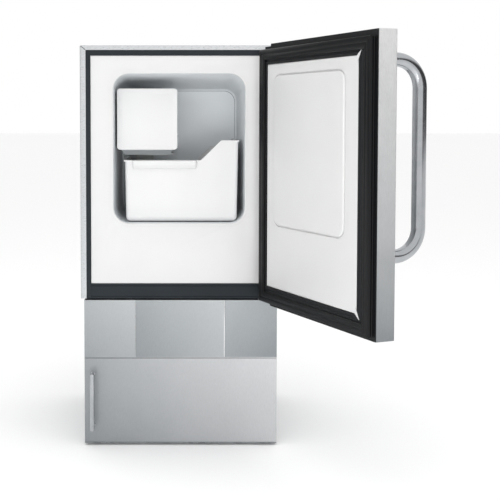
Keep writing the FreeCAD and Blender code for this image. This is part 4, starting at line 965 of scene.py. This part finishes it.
    def make_kick_fold(self) -> None:
        """Fold along the seam between the centre and right kick panels, near white as a painted
        highlight.
        """
        low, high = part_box("kick_panel_centre")
        fold = new_cube("kick_fold", (high.x - 1.5 * MM, low.y - 0.3 * MM, low.z + 0.5 * MM),
                        (high.x, low.y + 1.0 * MM, high.z - 0.5 * MM))
        soften_edges(fold, 0.2 * MM, 2)
        smooth(fold)
        self.place(fold, self.finishes.painted_highlight)

    def make_rear(self) -> None:
        """Hoods over the rear air slots, and screws with domed, cross-cut heads."""
        low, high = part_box("rear_panel")
        hoods = []
        rows, pitch, first = 9, 13 * MM, 267 * MM
        for row in range(rows):
            for middle in (-70 * MM, 70 * MM):
                half = 51 * MM
                base = first + pitch * row
                hood = new_cube("hood", (middle - half, high.y - 0.2 * MM, base - 0.5 * MM),
                                (middle + half, high.y + 2.6 * MM, base + 3 * MM))
                bevel(hood, 2.4 * MM, 4, lambda spot, way: spot.y > high.y + 2 * MM and spot.z > base)
                hoods.append(hood)
        louvres = join("louvre_hoods", hoods)
        smooth(louvres, 30)
        self.place(louvres, self.finishes.galvanised)
        screws = []
        node_low, node_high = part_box("rear_panel_screws")
        screw_heights = (0.215, 0.4, 0.6, 0.79)
        for x in (node_low.x + 4 * MM, node_high.x - 4 * MM):
            for z in screw_heights:
                head = new_rod("head", (x, high.y, z), (x, high.y + 1.8 * MM, z), 4 * MM, 32)
                bevel(head, 1.2 * MM, 4, lambda spot, way: spot.y > high.y + 1.7 * MM)
                for turn in ((2.2, 0.45), (0.45, 2.2)):
                    slot = new_cube("slot", (x - turn[0] * MM, high.y + 0.9 * MM, z - turn[1] * MM),
                                    (x + turn[0] * MM, high.y + 3 * MM, z + turn[1] * MM))
                    subtract(head, slot)
                shank = new_rod("shank", (x, high.y - 8 * MM, z), (x, high.y - 0.1 * MM, z), 2 * MM, 16)
                screws += [head, shank]
        group = join("rear_screws", screws)
        smooth(group)
        self.place(group, self.finishes.plated, "rear_panel_screws")


def turned_open(piece: bpy.types.Object) -> None:
    """Turn a piece modelled on the closed door to the door's rest angle about its pins."""
    joint = next(item for item in frame["joints"] if item["name"] == "main_door_hinge")
    pin = Vector(joint["pos_m"])
    angle = -math.radians(joint["range_deg"][0])
    turn = Matrix.Translation(pin) @ Matrix.Rotation(angle, 4, "Z") @ Matrix.Translation(-pin)
    piece.data.transform(turn)


@dataclass
class MainDoor(SubAssembly):
    """Insulated door: pan, liner, gasket, retainer and bent tube handle."""

    body: str = "main_door"
    inner_plane: float = -218 * MM
    outer_face: float = -254.4 * MM
    half_width: float = 199 * MM
    liner_left: float = -158 * MM
    liner_right: float = 171.5 * MM
    liner_low: float = 337 * MM
    liner_high: float = 772 * MM

    def build(self) -> None:
        """Model the visible pieces as on the closed door and turn them open."""
        self.make_gasket()
        self.make_retainer()
        self.make_liner()
        self.make_handle()
        looks = self.finishes
        self.keep(looks.door_steel, "door_skin")
        self.keep(looks.foam, "door_foam")
        self.keep(looks.plated, "handle_screws")
        self.keep(looks.nylon, "door_hinge_bushes")

    def frame_outline(self, node: str, half: float) -> Ring:
        """The outer rectangle of a door frame piece, closed."""
        low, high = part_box(node)
        return Ring(-half, half, low.z, high.z)

    def make_gasket(self) -> None:
        """Magnetic gasket: grooved bellows outside, round cushion over the magnet, thin inner lip."""
        outline = self.frame_outline("door_gasket", 197 * MM)
        back = self.inner_plane
        crest = -201.2 * MM
        section = [
            (6.6, 2.1), (0.8, 2.1), (0.0, 2.9), (0.0, 4.2), (1.9, 4.9), (1.9, 5.9), (0.2, 6.6),
            (0.2, 8.6), (1.9, 9.3), (1.9, 10.4), (0.1, 11.2), (0.0, 14.4), (0.7, 15.9), (2.2, 16.8),
            (9.5, 16.8), (10.4, 16.2), (11.3, 16.8), (17.5, 16.4), (20.6, 14.8), (20.8, 13.4),
            (19.0, 12.9), (6.6, 12.9),
        ]
        points = [(inset * MM, back + rise * MM) for inset, rise in section]
        top = max(y for _inset, y in points)
        points = [(inset, min(y, crest) if y == top else y) for inset, y in points]
        gasket = swept_ring("gasket_profile", outline, points)
        smooth(gasket, 50)
        turned_open(gasket)
        self.place(gasket, self.finishes.vinyl, "door_gasket")

    def make_retainer(self) -> None:
        """Black frame: a flange out to the pan's edge, notched for the hinges, and an inner bead."""
        low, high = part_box("gasket_retainer")
        back = self.inner_plane
        edge, notch, depth, flange = self.half_width - 0.3 * MM, 175 * MM, 5 * MM, 2 * MM
        inner = Ring(self.liner_left, self.liner_right, self.liner_low, self.liner_high)
        plate = new_cube("flange", (-edge, back + 0.05 * MM, low.z), (edge, back + flange, high.z))
        subtract(plate, new_cube("window", (inner.left, back - REACH, inner.low),
                                 (inner.right, back + REACH, inner.high)))
        for start, end in ((low.z - REACH, low.z + depth), (high.z - depth, high.z + REACH)):
            subtract(plate, new_cube("notch", (notch, back - REACH, start), (0.3, back + REACH, end)))
        section = [
            (0, 1.0), (0, 12.4), (-1.2, 12.8), (-3.6, 12.8), (-5.0, 11.4), (-8.0, 11.4), (-9.2, 12.6),
            (-14.0, 12.6), (-14.0, 1.0),
        ]
        bead = swept_ring("bead", inner, [(inset * MM, back + rise * MM) for inset, rise in section])
        retainer = join("retainer_frame", [plate, bead])
        smooth(retainer, 40)
        turned_open(retainer)
        self.place(retainer, self.finishes.black, "gasket_retainer")

    def make_liner(self) -> None:
        """White formed liner: rounded border, and a broad panel raised from a shallow moat."""
        back = self.inner_plane
        face = back + 12 * MM
        gap = 0.4 * MM
        liner = new_cube("liner_panel", (self.liner_left + gap, back + 0.3 * MM, self.liner_low + gap),
                         (self.liner_right - gap, face, self.liner_high - gap))
        bevel(liner, 4 * MM, 5, lambda spot, way: spot.y > face - NEAR)
        left, right, low, high = -115 * MM, 140 * MM, 462 * MM, 748 * MM
        moat = 3 * MM
        cutter = new_cube("moat", (left - moat, face - 2.2 * MM, low - moat),
                          (right + moat, face + REACH, high + moat))
        bevel(cutter, 20 * MM + moat, 14, through)
        subtract(liner, cutter)
        panel = new_cube("panel", (left, face - 3 * MM, low), (right, face + 2.4 * MM, high))
        bevel(panel, 20 * MM, 14, through)
        bevel(panel, 2.2 * MM, 5, lambda spot, way: spot.y > face + 2.3 * MM)
        liner = join("liner_panel", [liner, panel, self.corner_point(face, 1),
                                     self.corner_point(face, -1)])
        smooth(liner, 50)
        turned_open(liner)
        self.place(liner, self.finishes.door_liner, "door_liner")

    def corner_point(self, face: float, upward: int) -> bpy.types.Object:
        """White point that shows where the frame's mitre opens at a free-side corner.

        Args:
            face: the liner's face.
            upward: 1 for the upper corner, -1 for the lower one.
        """
        corner_z = self.liner_high if upward > 0 else self.liner_low
        deselect()
        bpy.ops.mesh.primitive_circle_add(vertices=3, radius=1, fill_type="NGON",
                                          rotation=UPRIGHT_TURN)
        point = bpy.context.object
        freeze()
        corners = (
            Vector((self.liner_left - 9 * MM, face + 1.1 * MM, corner_z + upward * 7 * MM)),
            Vector((self.liner_left + 2 * MM, face + 0.9 * MM, corner_z - upward * 12 * MM)),
            Vector((self.liner_left + 5 * MM, face + 0.9 * MM, corner_z - upward * 2 * MM)),
        )
        for vert, spot in zip(point.data.vertices, corners):
            vert.co = spot
        apply_modifier(point, "SOLIDIFY", thickness=0.8 * MM, offset=0)
        return point

    def make_handle(self) -> None:
        """Round tube bent twice."""
        radius, bend, standoff = 12 * MM, 47 * MM, 63.5 * MM
        x = -self.half_width + 28 * MM
        foot_z, head_z = 434 * MM, 764 * MM
        bar_y = self.outer_face - standoff
        deselect()
        bpy.ops.mesh.primitive_circle_add(vertices=40, radius=radius, fill_type="NGON",
                                          location=(x, self.outer_face, foot_z),
                                          rotation=UPRIGHT_TURN)
        tube = bpy.context.object
        tube.name = "handle_tube"
        freeze()
        activate(tube)
        bpy.ops.object.mode_set(mode="EDIT")
        bpy.ops.mesh.select_mode(type="FACE")
        bpy.ops.mesh.select_all(action="SELECT")

        def push(move: tuple[float, float, float]) -> None:
            """Draw the selected end out by a move."""
            bpy.ops.mesh.extrude_region_move(TRANSFORM_OT_translate={"value": move})

        push((0, -(standoff - bend), 0))
        bpy.ops.mesh.spin(steps=14, angle=math.pi / 2, center=(x, bar_y + bend, foot_z + bend),
                          axis=(1, 0, 0))
        push((0, 0, head_z - foot_z - 2 * bend))
        bpy.ops.mesh.spin(steps=14, angle=math.pi / 2, center=(x, bar_y + bend, head_z - bend),
                          axis=(1, 0, 0))
        push((0, standoff - bend, 0))
        weld_outwards()
        leave_edit()
        turned_open(tube)
        smooth(tube, 40)
        self.place(tube, self.finishes.handle, "door_handle")


@dataclass
class StorageDoor(SubAssembly):
    """Lower door with its slim bar handle."""

    body: str = "storage_door"

    def build(self) -> None:
        """Model the handle and dress the door."""
        self.make_handle()
        looks = self.finishes
        self.keep(looks.storage_steel, "storage_door_skin")
        self.keep(looks.galvanised, "storage_door_inner_panel")
        self.keep(looks.nylon, "storage_hinge_bushes")
        self.keep(looks.plated, "catch_strike")

    def make_handle(self) -> None:
        """Straight bar with domed ends on two waisted posts."""
        low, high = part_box("storage_handle")
        radius = 4.5 * MM
        x = (low.x + high.x) / 2
        bar_y = low.y + radius
        bar = new_rod("bar", (x, bar_y, low.z), (x, bar_y, high.z), radius, 40)
        bevel(bar, 2.2 * MM, 5, level)
        pieces = [bar]
        for z in (low.z + 6 * MM, high.z - 6 * MM):
            pieces.append(new_rod("post", (x, bar_y, z), (x, high.y, z), 3.2 * MM, 32))
            collar = new_rod("collar", (x, high.y - 3 * MM, z), (x, high.y, z), 4.6 * MM, 32)
            bevel(collar, 1 * MM, 3, lambda spot, way: spot.y < high.y - 2.9 * MM)
            pieces.append(collar)
        handle = join("storage_bar", pieces)
        smooth(handle)
        self.place(handle, self.finishes.handle, "storage_handle")


@dataclass
class IceBin(SubAssembly):
    """White bin that slides out of the compartment."""

    body: str = "ice_bin"
    wall: float = 2.4 * MM

    def build(self) -> None:
        """Model the bin as one moulding."""
        low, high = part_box("ice_bin")
        front = -170 * MM
        back = high.y
        low_rim, high_rim = 581.3 * MM, high.z - 0.1 * MM
        side_left, side_right = -114.5 * MM, 118 * MM
        shell = new_cube("bin_shell", (side_left, front, low.z), (side_right, back, high_rim))
        draft = Vector((0.974, 1, 1))
        self.taper(shell, low.z, draft)
        bevel(shell, 7 * MM, 6, upright)
        bevel(shell, 10 * MM, 6, lambda spot, way: spot.z < low.z + 0.5 * MM)
        cutter = new_cube("hollow", (side_left + self.wall, front + self.wall, low.z + self.wall),
                          (side_right - self.wall, back - self.wall, high_rim + 0.05))
        self.taper(cutter, low.z + self.wall, draft)
        bevel(cutter, 5 * MM, 6, upright)
        bevel(cutter, 8 * MM, 6, lambda spot, way: spot.z < low.z + self.wall + 0.5 * MM)
        subtract(shell, cutter)
        subtract(shell, self.shoulder(front - 0.02, back - self.wall - 0.5 * MM, 0, low_rim, high_rim))
        subtract(shell, self.shoulder(back - self.wall - 1 * MM, back + 0.02, 16 * MM, low_rim,
                                      high_rim))
        soften_edges(shell, 0.7 * MM, 3, 50)
        rims = [
            self.rim_strip(-116.5 * MM, -112.6 * MM, low_rim),
            self.rim_strip(116.2 * MM, 120 * MM, high_rim),
        ]
        ledge = self.grip_ledge(front, low_rim)
        half, ends = 6 * MM, 20 * MM
        feet = [new_cube("runner", (x - half, front + ends, low.z), (x + half, back - ends, low.z + MM))
                for x in (-60 * MM, 64 * MM)]
        bin_piece = join("bin_moulding", [shell, ledge] + rims + feet)
        smooth(bin_piece, 40)
        self.place(bin_piece, self.finishes.white, "ice_bin")

    def taper(self, piece: bpy.types.Object, height: float, grow: Vector) -> None:
        """Narrow the piece's underside, for draft."""
        pick(piece, "FACE", looks_down)
        bpy.ops.transform.resize(value=grow, center_override=(1.75 * MM, 0, height))
        leave_edit()

    def shoulder(self, start: float, end: float, drop: float, low_rim: float,
                 high_rim: float) -> bpy.types.Object:
        """The space above the bin's stepped rim, as a cutter."""
        low_rim, high_rim = low_rim - drop, high_rim - drop
        cutter = new_cube("shoulder", (-150 * MM, start, low_rim), (150 * MM, end, high_rim + 0.1))
        activate(cutter)
        bpy.ops.object.mode_set(mode="EDIT")
        bpy.ops.mesh.select_all(action="SELECT")
        left, right = (41.6 * MM - drop, 83 * MM - drop)
        bpy.ops.mesh.bisect(plane_co=(left, 0, 0), plane_no=(1, 0, 0))
        bpy.ops.mesh.select_all(action="SELECT")
        bpy.ops.mesh.bisect(plane_co=(right, 0, 0), plane_no=(1, 0, 0))
        leave_edit()
        shape = bmesh.new()
        shape.from_mesh(cutter.data)
        for vert in shape.verts:
            if vert.co.z < low_rim + MM and vert.co.x > right - NEAR:
                vert.co.z = high_rim
        shape.to_mesh(cutter.data)
        shape.free()
        return cutter

    def rim_strip(self, left: float, right: float, height: float) -> bpy.types.Object:
        """A thin rolled lip along one side wall."""
        strip = new_cube("rim", (left, -167 * MM, height - 3 * MM), (right, 12 * MM, height - 0.05 * MM))
        soften_edges(strip, 1.1 * MM, 3)
        return strip

    def grip_ledge(self, front: float, low_rim: float) -> bpy.types.Object:
        """Finger ledge across the front under the low rim."""
        ledge = new_cube("ledge", (-99 * MM, front - 9 * MM, low_rim - 17 * MM),
                         (33 * MM, front + 1.5 * MM, low_rim - 0.2 * MM))
        bevel(ledge, 5 * MM, 5, lambda spot, way: upright(spot, way) and spot.y < front)
        bevel(ledge, 3 * MM, 4, lambda spot, way: spot.y < front - 3 * MM and spot.z > low_rim - MM)
        pick(ledge, "FACE", looks_down)
        bpy.ops.transform.resize(value=(0.98, 0.4, 1), center_override=(-33 * MM, front + 1.5 * MM, 0))
        leave_edit()
        soften_edges(ledge, 0.8 * MM, 2)
        return ledge


@dataclass
class IceModule(SubAssembly):
    """Crescent-cube module at the compartment's upper left."""

    def build(self) -> None:
        """Model the cover and dress the rest."""
        self.make_cover()
        looks = self.finishes
        self.keep(looks.grey, "gearbox_housing")
        self.keep(looks.cast, "ice_mould")
        self.keep(looks.white, "stripper_comb", "fill_cup")
        self.keep(looks.plated, "mould_heater", "icemaker_bracket")
        self.keep(looks.grey, "ejector_shaft")
        self.keep(looks.handle, "shutoff_arm")

    def make_cover(self) -> None:
        """White cover with a very slightly crowned face, a lip round it and soft corners."""
        low, high = Vector((-130, -160, 602.5)) * MM, Vector((-7, -112, 727.5)) * MM
        cover = new_cube("module_cover", low, high)
        pick(cover, "FACE", lambda spot, normal: normal.y < -0.9)
        bpy.ops.mesh.inset(thickness=9 * MM)
        bpy.ops.transform.translate(value=(0, 0.4 * MM, 0))
        bpy.ops.mesh.inset(thickness=2 * MM)
        bpy.ops.transform.translate(value=(0, -0.4 * MM, 0))
        leave_edit()
        pick(cover, "FACE", looks_back)
        bpy.ops.mesh.inset(thickness=2.2 * MM)
        bpy.ops.mesh.extrude_region_move(TRANSFORM_OT_translate={"value": (0, -45 * MM, 0)})
        leave_edit()
        bevel(cover, 6 * MM, 6, lambda spot, way: through(spot, way) and (
            abs(spot.x - low.x) < NEAR or abs(spot.x - high.x) < NEAR))
        soften_edges(cover, 1.2 * MM, 4, 30)
        smooth(cover, 30)
        self.place(cover, self.finishes.white, "icemaker_cover")
        # The housing's tab beside the cover, then the guard that closes the mould's front below it.
        tab = new_cube("housing_tab", (high.x + 0.1 * MM, -148 * MM, 607 * MM),
                       (high.x + 2.2 * MM, -118 * MM, 632 * MM))
        soften_edges(tab, 0.5 * MM, 2)
        smooth(tab)
        self.place(tab, self.finishes.grey)
        guard_low, guard_high = 590.6 * MM, 602.2 * MM
        guard = new_cube("mould_front_guard", (-121 * MM, -113.4 * MM, guard_low),
                         (-19 * MM, -112.3 * MM, guard_high))
        bevel(guard, 8 * MM, 6, lambda spot, way: through(spot, way) and spot.z < guard_low + 1.4 * MM)
        smooth(guard)
        self.place(guard, self.finishes.grey)


@dataclass
class Machinery(SubAssembly):
    """Cooling circuit, fan and water supply inside the casing."""

    def build(self) -> None:
        """Dress the machine parts and model the inlet's threaded port."""
        looks = self.finishes
        self.keep(looks.cast, "evaporator_plate", "condenser_fins")
        self.keep(looks.enamel, "compressor", "fan_motor")
        self.keep(looks.rubber, "compressor_grommets")
        self.keep(looks.black, "compressor_relay_cover", "fan_blade")
        self.keep(looks.copper, "condenser_tube", "filter_drier", "refrigerant_pipes")
        self.keep(looks.galvanised, "fan_shroud")
        self.keep(looks.hose, "fill_tube")
        self.make_valve()

    def make_valve(self) -> None:
        """Inlet valve: block, round solenoid and a port with a rolled thread."""
        low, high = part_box("water_inlet_valve")
        block_back = high.y - 13.3 * MM
        x = (low.x + high.x) / 2
        z = low.z + 18 * MM
        block = new_cube("block", (low.x, low.y, low.z), (high.x, block_back, low.z + 36 * MM))
        soften_edges(block, 2 * MM, 3)
        coil_y = block_back - 17.5 * MM
        coil = new_rod("coil", (x, coil_y, z + 17 * MM), (x, coil_y, high.z), 13 * MM)
        bevel(coil, 2 * MM, 3, lambda spot, way: spot.z > high.z - NEAR)
        port = new_rod("port", (x, block_back - MM, z), (x, high.y, z), 12.3 * MM, 64)
        pick(port, "FACE", looks_back)
        bpy.ops.mesh.inset(thickness=4.3 * MM)
        bpy.ops.mesh.extrude_region_move(TRANSFORM_OT_translate={"value": (0, -14 * MM, 0)})
        leave_edit()
        ridges = []
        for index in range(5):
            at = high.y - 2 * MM - 1.9 * MM * index
            ridges.append(new_torus((x, at, z), 12.45 * MM, 0.8 * MM, (64, 8), UPRIGHT_TURN))
        valve = join("inlet_valve", [block, coil, port] + ridges)
        smooth(valve, 40)
        self.place(valve, self.finishes.hose, "water_inlet_valve")


@dataclass
class Pedestal(SubAssembly):
    """Storage pedestal, catch and levelling feet."""

    def build(self) -> None:
        """Dress the pedestal and model its feet."""
        looks = self.finishes
        self.keep(looks.side_steel, "pedestal_shell")
        self.keep(looks.storage_steel, "pedestal_top")
        self.keep(looks.galvanised, "pedestal_base")
        self.keep(looks.black, "magnetic_catch")
        for corner in ("front_left", "front_right", "rear_left", "rear_right"):
            self.make_foot(corner)

    def make_foot(self, corner: str) -> None:
        """Round pad with a chamfered rim under a threaded stem."""
        node = f"levelling_foot_{corner}"
        low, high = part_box(node)
        x, y = (low.x + high.x) / 2, (low.y + high.y) / 2
        top = low.z + 3.6 * MM
        pad = new_rod("pad", (x, y, low.z), (x, y, top), 14 * MM, 48)
        bevel(pad, 0.8 * MM, 3, level)
        stem = new_rod("stem", (x, y, top - 0.4 * MM), (x, y, high.z), 3.6 * MM, 32)
        threads = []
        for index in range(12):
            at = top + 1 * MM + 1.25 * MM * index
            threads.append(new_torus((x, y, at), 3.5 * MM, 0.45 * MM, (32, 6)))
        foot = join(f"foot_{corner}", [pad, stem] + threads)
        smooth(foot, 40)
        owner = self.body
        self.body = f"foot_{corner}"
        self.place(foot, self.finishes.black, node)
        self.body = owner


# ---------------------------------------------------------------- stage


@dataclass
class Studio:
    """White floor, soft lamps, the world and the camera in front of the cabinet."""

    eye: tuple[float, float, float] = (0.0, -2.309, 0.663)
    lens: float = 75.45
    pitch_down: float = 3.0
    shift_x: float = 0.1388
    shift_y: float = -0.1498
    side_light: float = 0.08
    flank_start: float = 0.55
    flank_end: float = 0.74
    level_weight: float = -0.6

    def build(self) -> None:
        """Set the floor, the lights, the world and the camera."""
        self.make_floor()
        self.make_lights()
        self.make_camera()

    def make_floor(self) -> None:
        """A wide pale floor that meets the feet."""
        deselect()
        bpy.ops.mesh.primitive_plane_add(size=60, location=(0, 20, 0))
        floor = bpy.context.object
        floor.name = "floor"
        material = bpy.data.materials.new("pale_floor")
        material.use_nodes = True
        shader = material.node_tree.nodes["Principled BSDF"]
        shader.inputs["Base Color"].default_value = linear("#FFFFFF")
        shader.inputs["Roughness"].default_value = 0.9
        floor.data.materials.append(material)

    def make_lights(self) -> None:
        """Key, low and top lamps; a world that is dim at the flanks in reflections, white if seen."""
        for name, place, size, power in (
            ("key", (-0.8, -2.7, 0.6), 1.0, 10),
            ("low", (0.2, -2.2, 0.14), 0.8, 17),
            ("top", (0.2, -0.8, 2.9), 2.4, 18),
        ):
            deselect()
            bpy.ops.object.light_add(type="AREA", location=place)
            lamp = bpy.context.object
            lamp.name = name
            lamp.data.size = size
            lamp.data.energy = power
            lamp.visible_glossy = False
            aim = Vector((0, 0, 0.45)) - Vector(place)
            lamp.rotation_euler = aim.to_track_quat("-Z", "Y").to_euler()
        world = bpy.data.worlds.new("studio")
        world.use_nodes = True
        tree = world.node_tree
        background = tree.nodes["Background"]
        background.inputs["Color"].default_value = (1.0, 1.0, 1.0, 1.0)
        way = add_node(tree, "ShaderNodeTexCoord")
        split = add_node(tree, "ShaderNodeSeparateXYZ", links={"Vector": way.outputs["Generated"]})
        side = add_node(tree, "ShaderNodeMath", {"operation": "ABSOLUTE"}, {"#0": split.outputs["X"]})
        level = add_node(tree, "ShaderNodeMath", {"operation": "ABSOLUTE"}, {"#0": split.outputs["Z"]})
        flank = add_node(tree, "ShaderNodeMath", {"operation": "MULTIPLY_ADD", "#1": self.level_weight},
                         {"#0": level.outputs["Value"], "#2": side.outputs["Value"]})
        fall = add_node(tree, "ShaderNodeMapRange",
                        {"From Min": self.flank_start, "From Max": self.flank_end,
                         "To Min": 1.0, "To Max": self.side_light},
                        {"Value": flank.outputs["Value"]})
        seen = add_node(tree, "ShaderNodeLightPath")
        strength = add_node(tree, "ShaderNodeMath", {"operation": "MAXIMUM"},
                            {"#0": fall.outputs["Result"], "#1": seen.outputs["Is Camera Ray"]})
        tree.links.new(strength.outputs["Value"], background.inputs["Strength"])
        bpy.context.scene.world = world

    def make_camera(self) -> None:
        """A long lens at the height of the compartment."""
        deselect()
        bpy.ops.object.camera_add(location=self.eye,
                                  rotation=(math.radians(90 - self.pitch_down), 0, 0))
        camera = bpy.context.object
        camera.name = "camera"
        camera.data.lens = self.lens
        camera.data.sensor_width = 36
        camera.data.shift_x = self.shift_x
        camera.data.shift_y = self.shift_y
        bpy.context.scene.camera = camera


def main() -> None:
    """Build every sub-assembly and the studio round it."""
    logging.basicConfig(level=logging.INFO, format="%(name)s: %(message)s")
    bpy.context.scene.view_settings.view_transform = "Standard"
    finishes = Finishes()
    Studio().build()
    for kind in (Cabinet, MainDoor, StorageDoor, IceBin, IceModule, Machinery, Pedestal):
        part = kind(finishes)
        part.build()
        LOG.info("%s is done", kind.__name__)


if __name__ == "__main__":
    main()
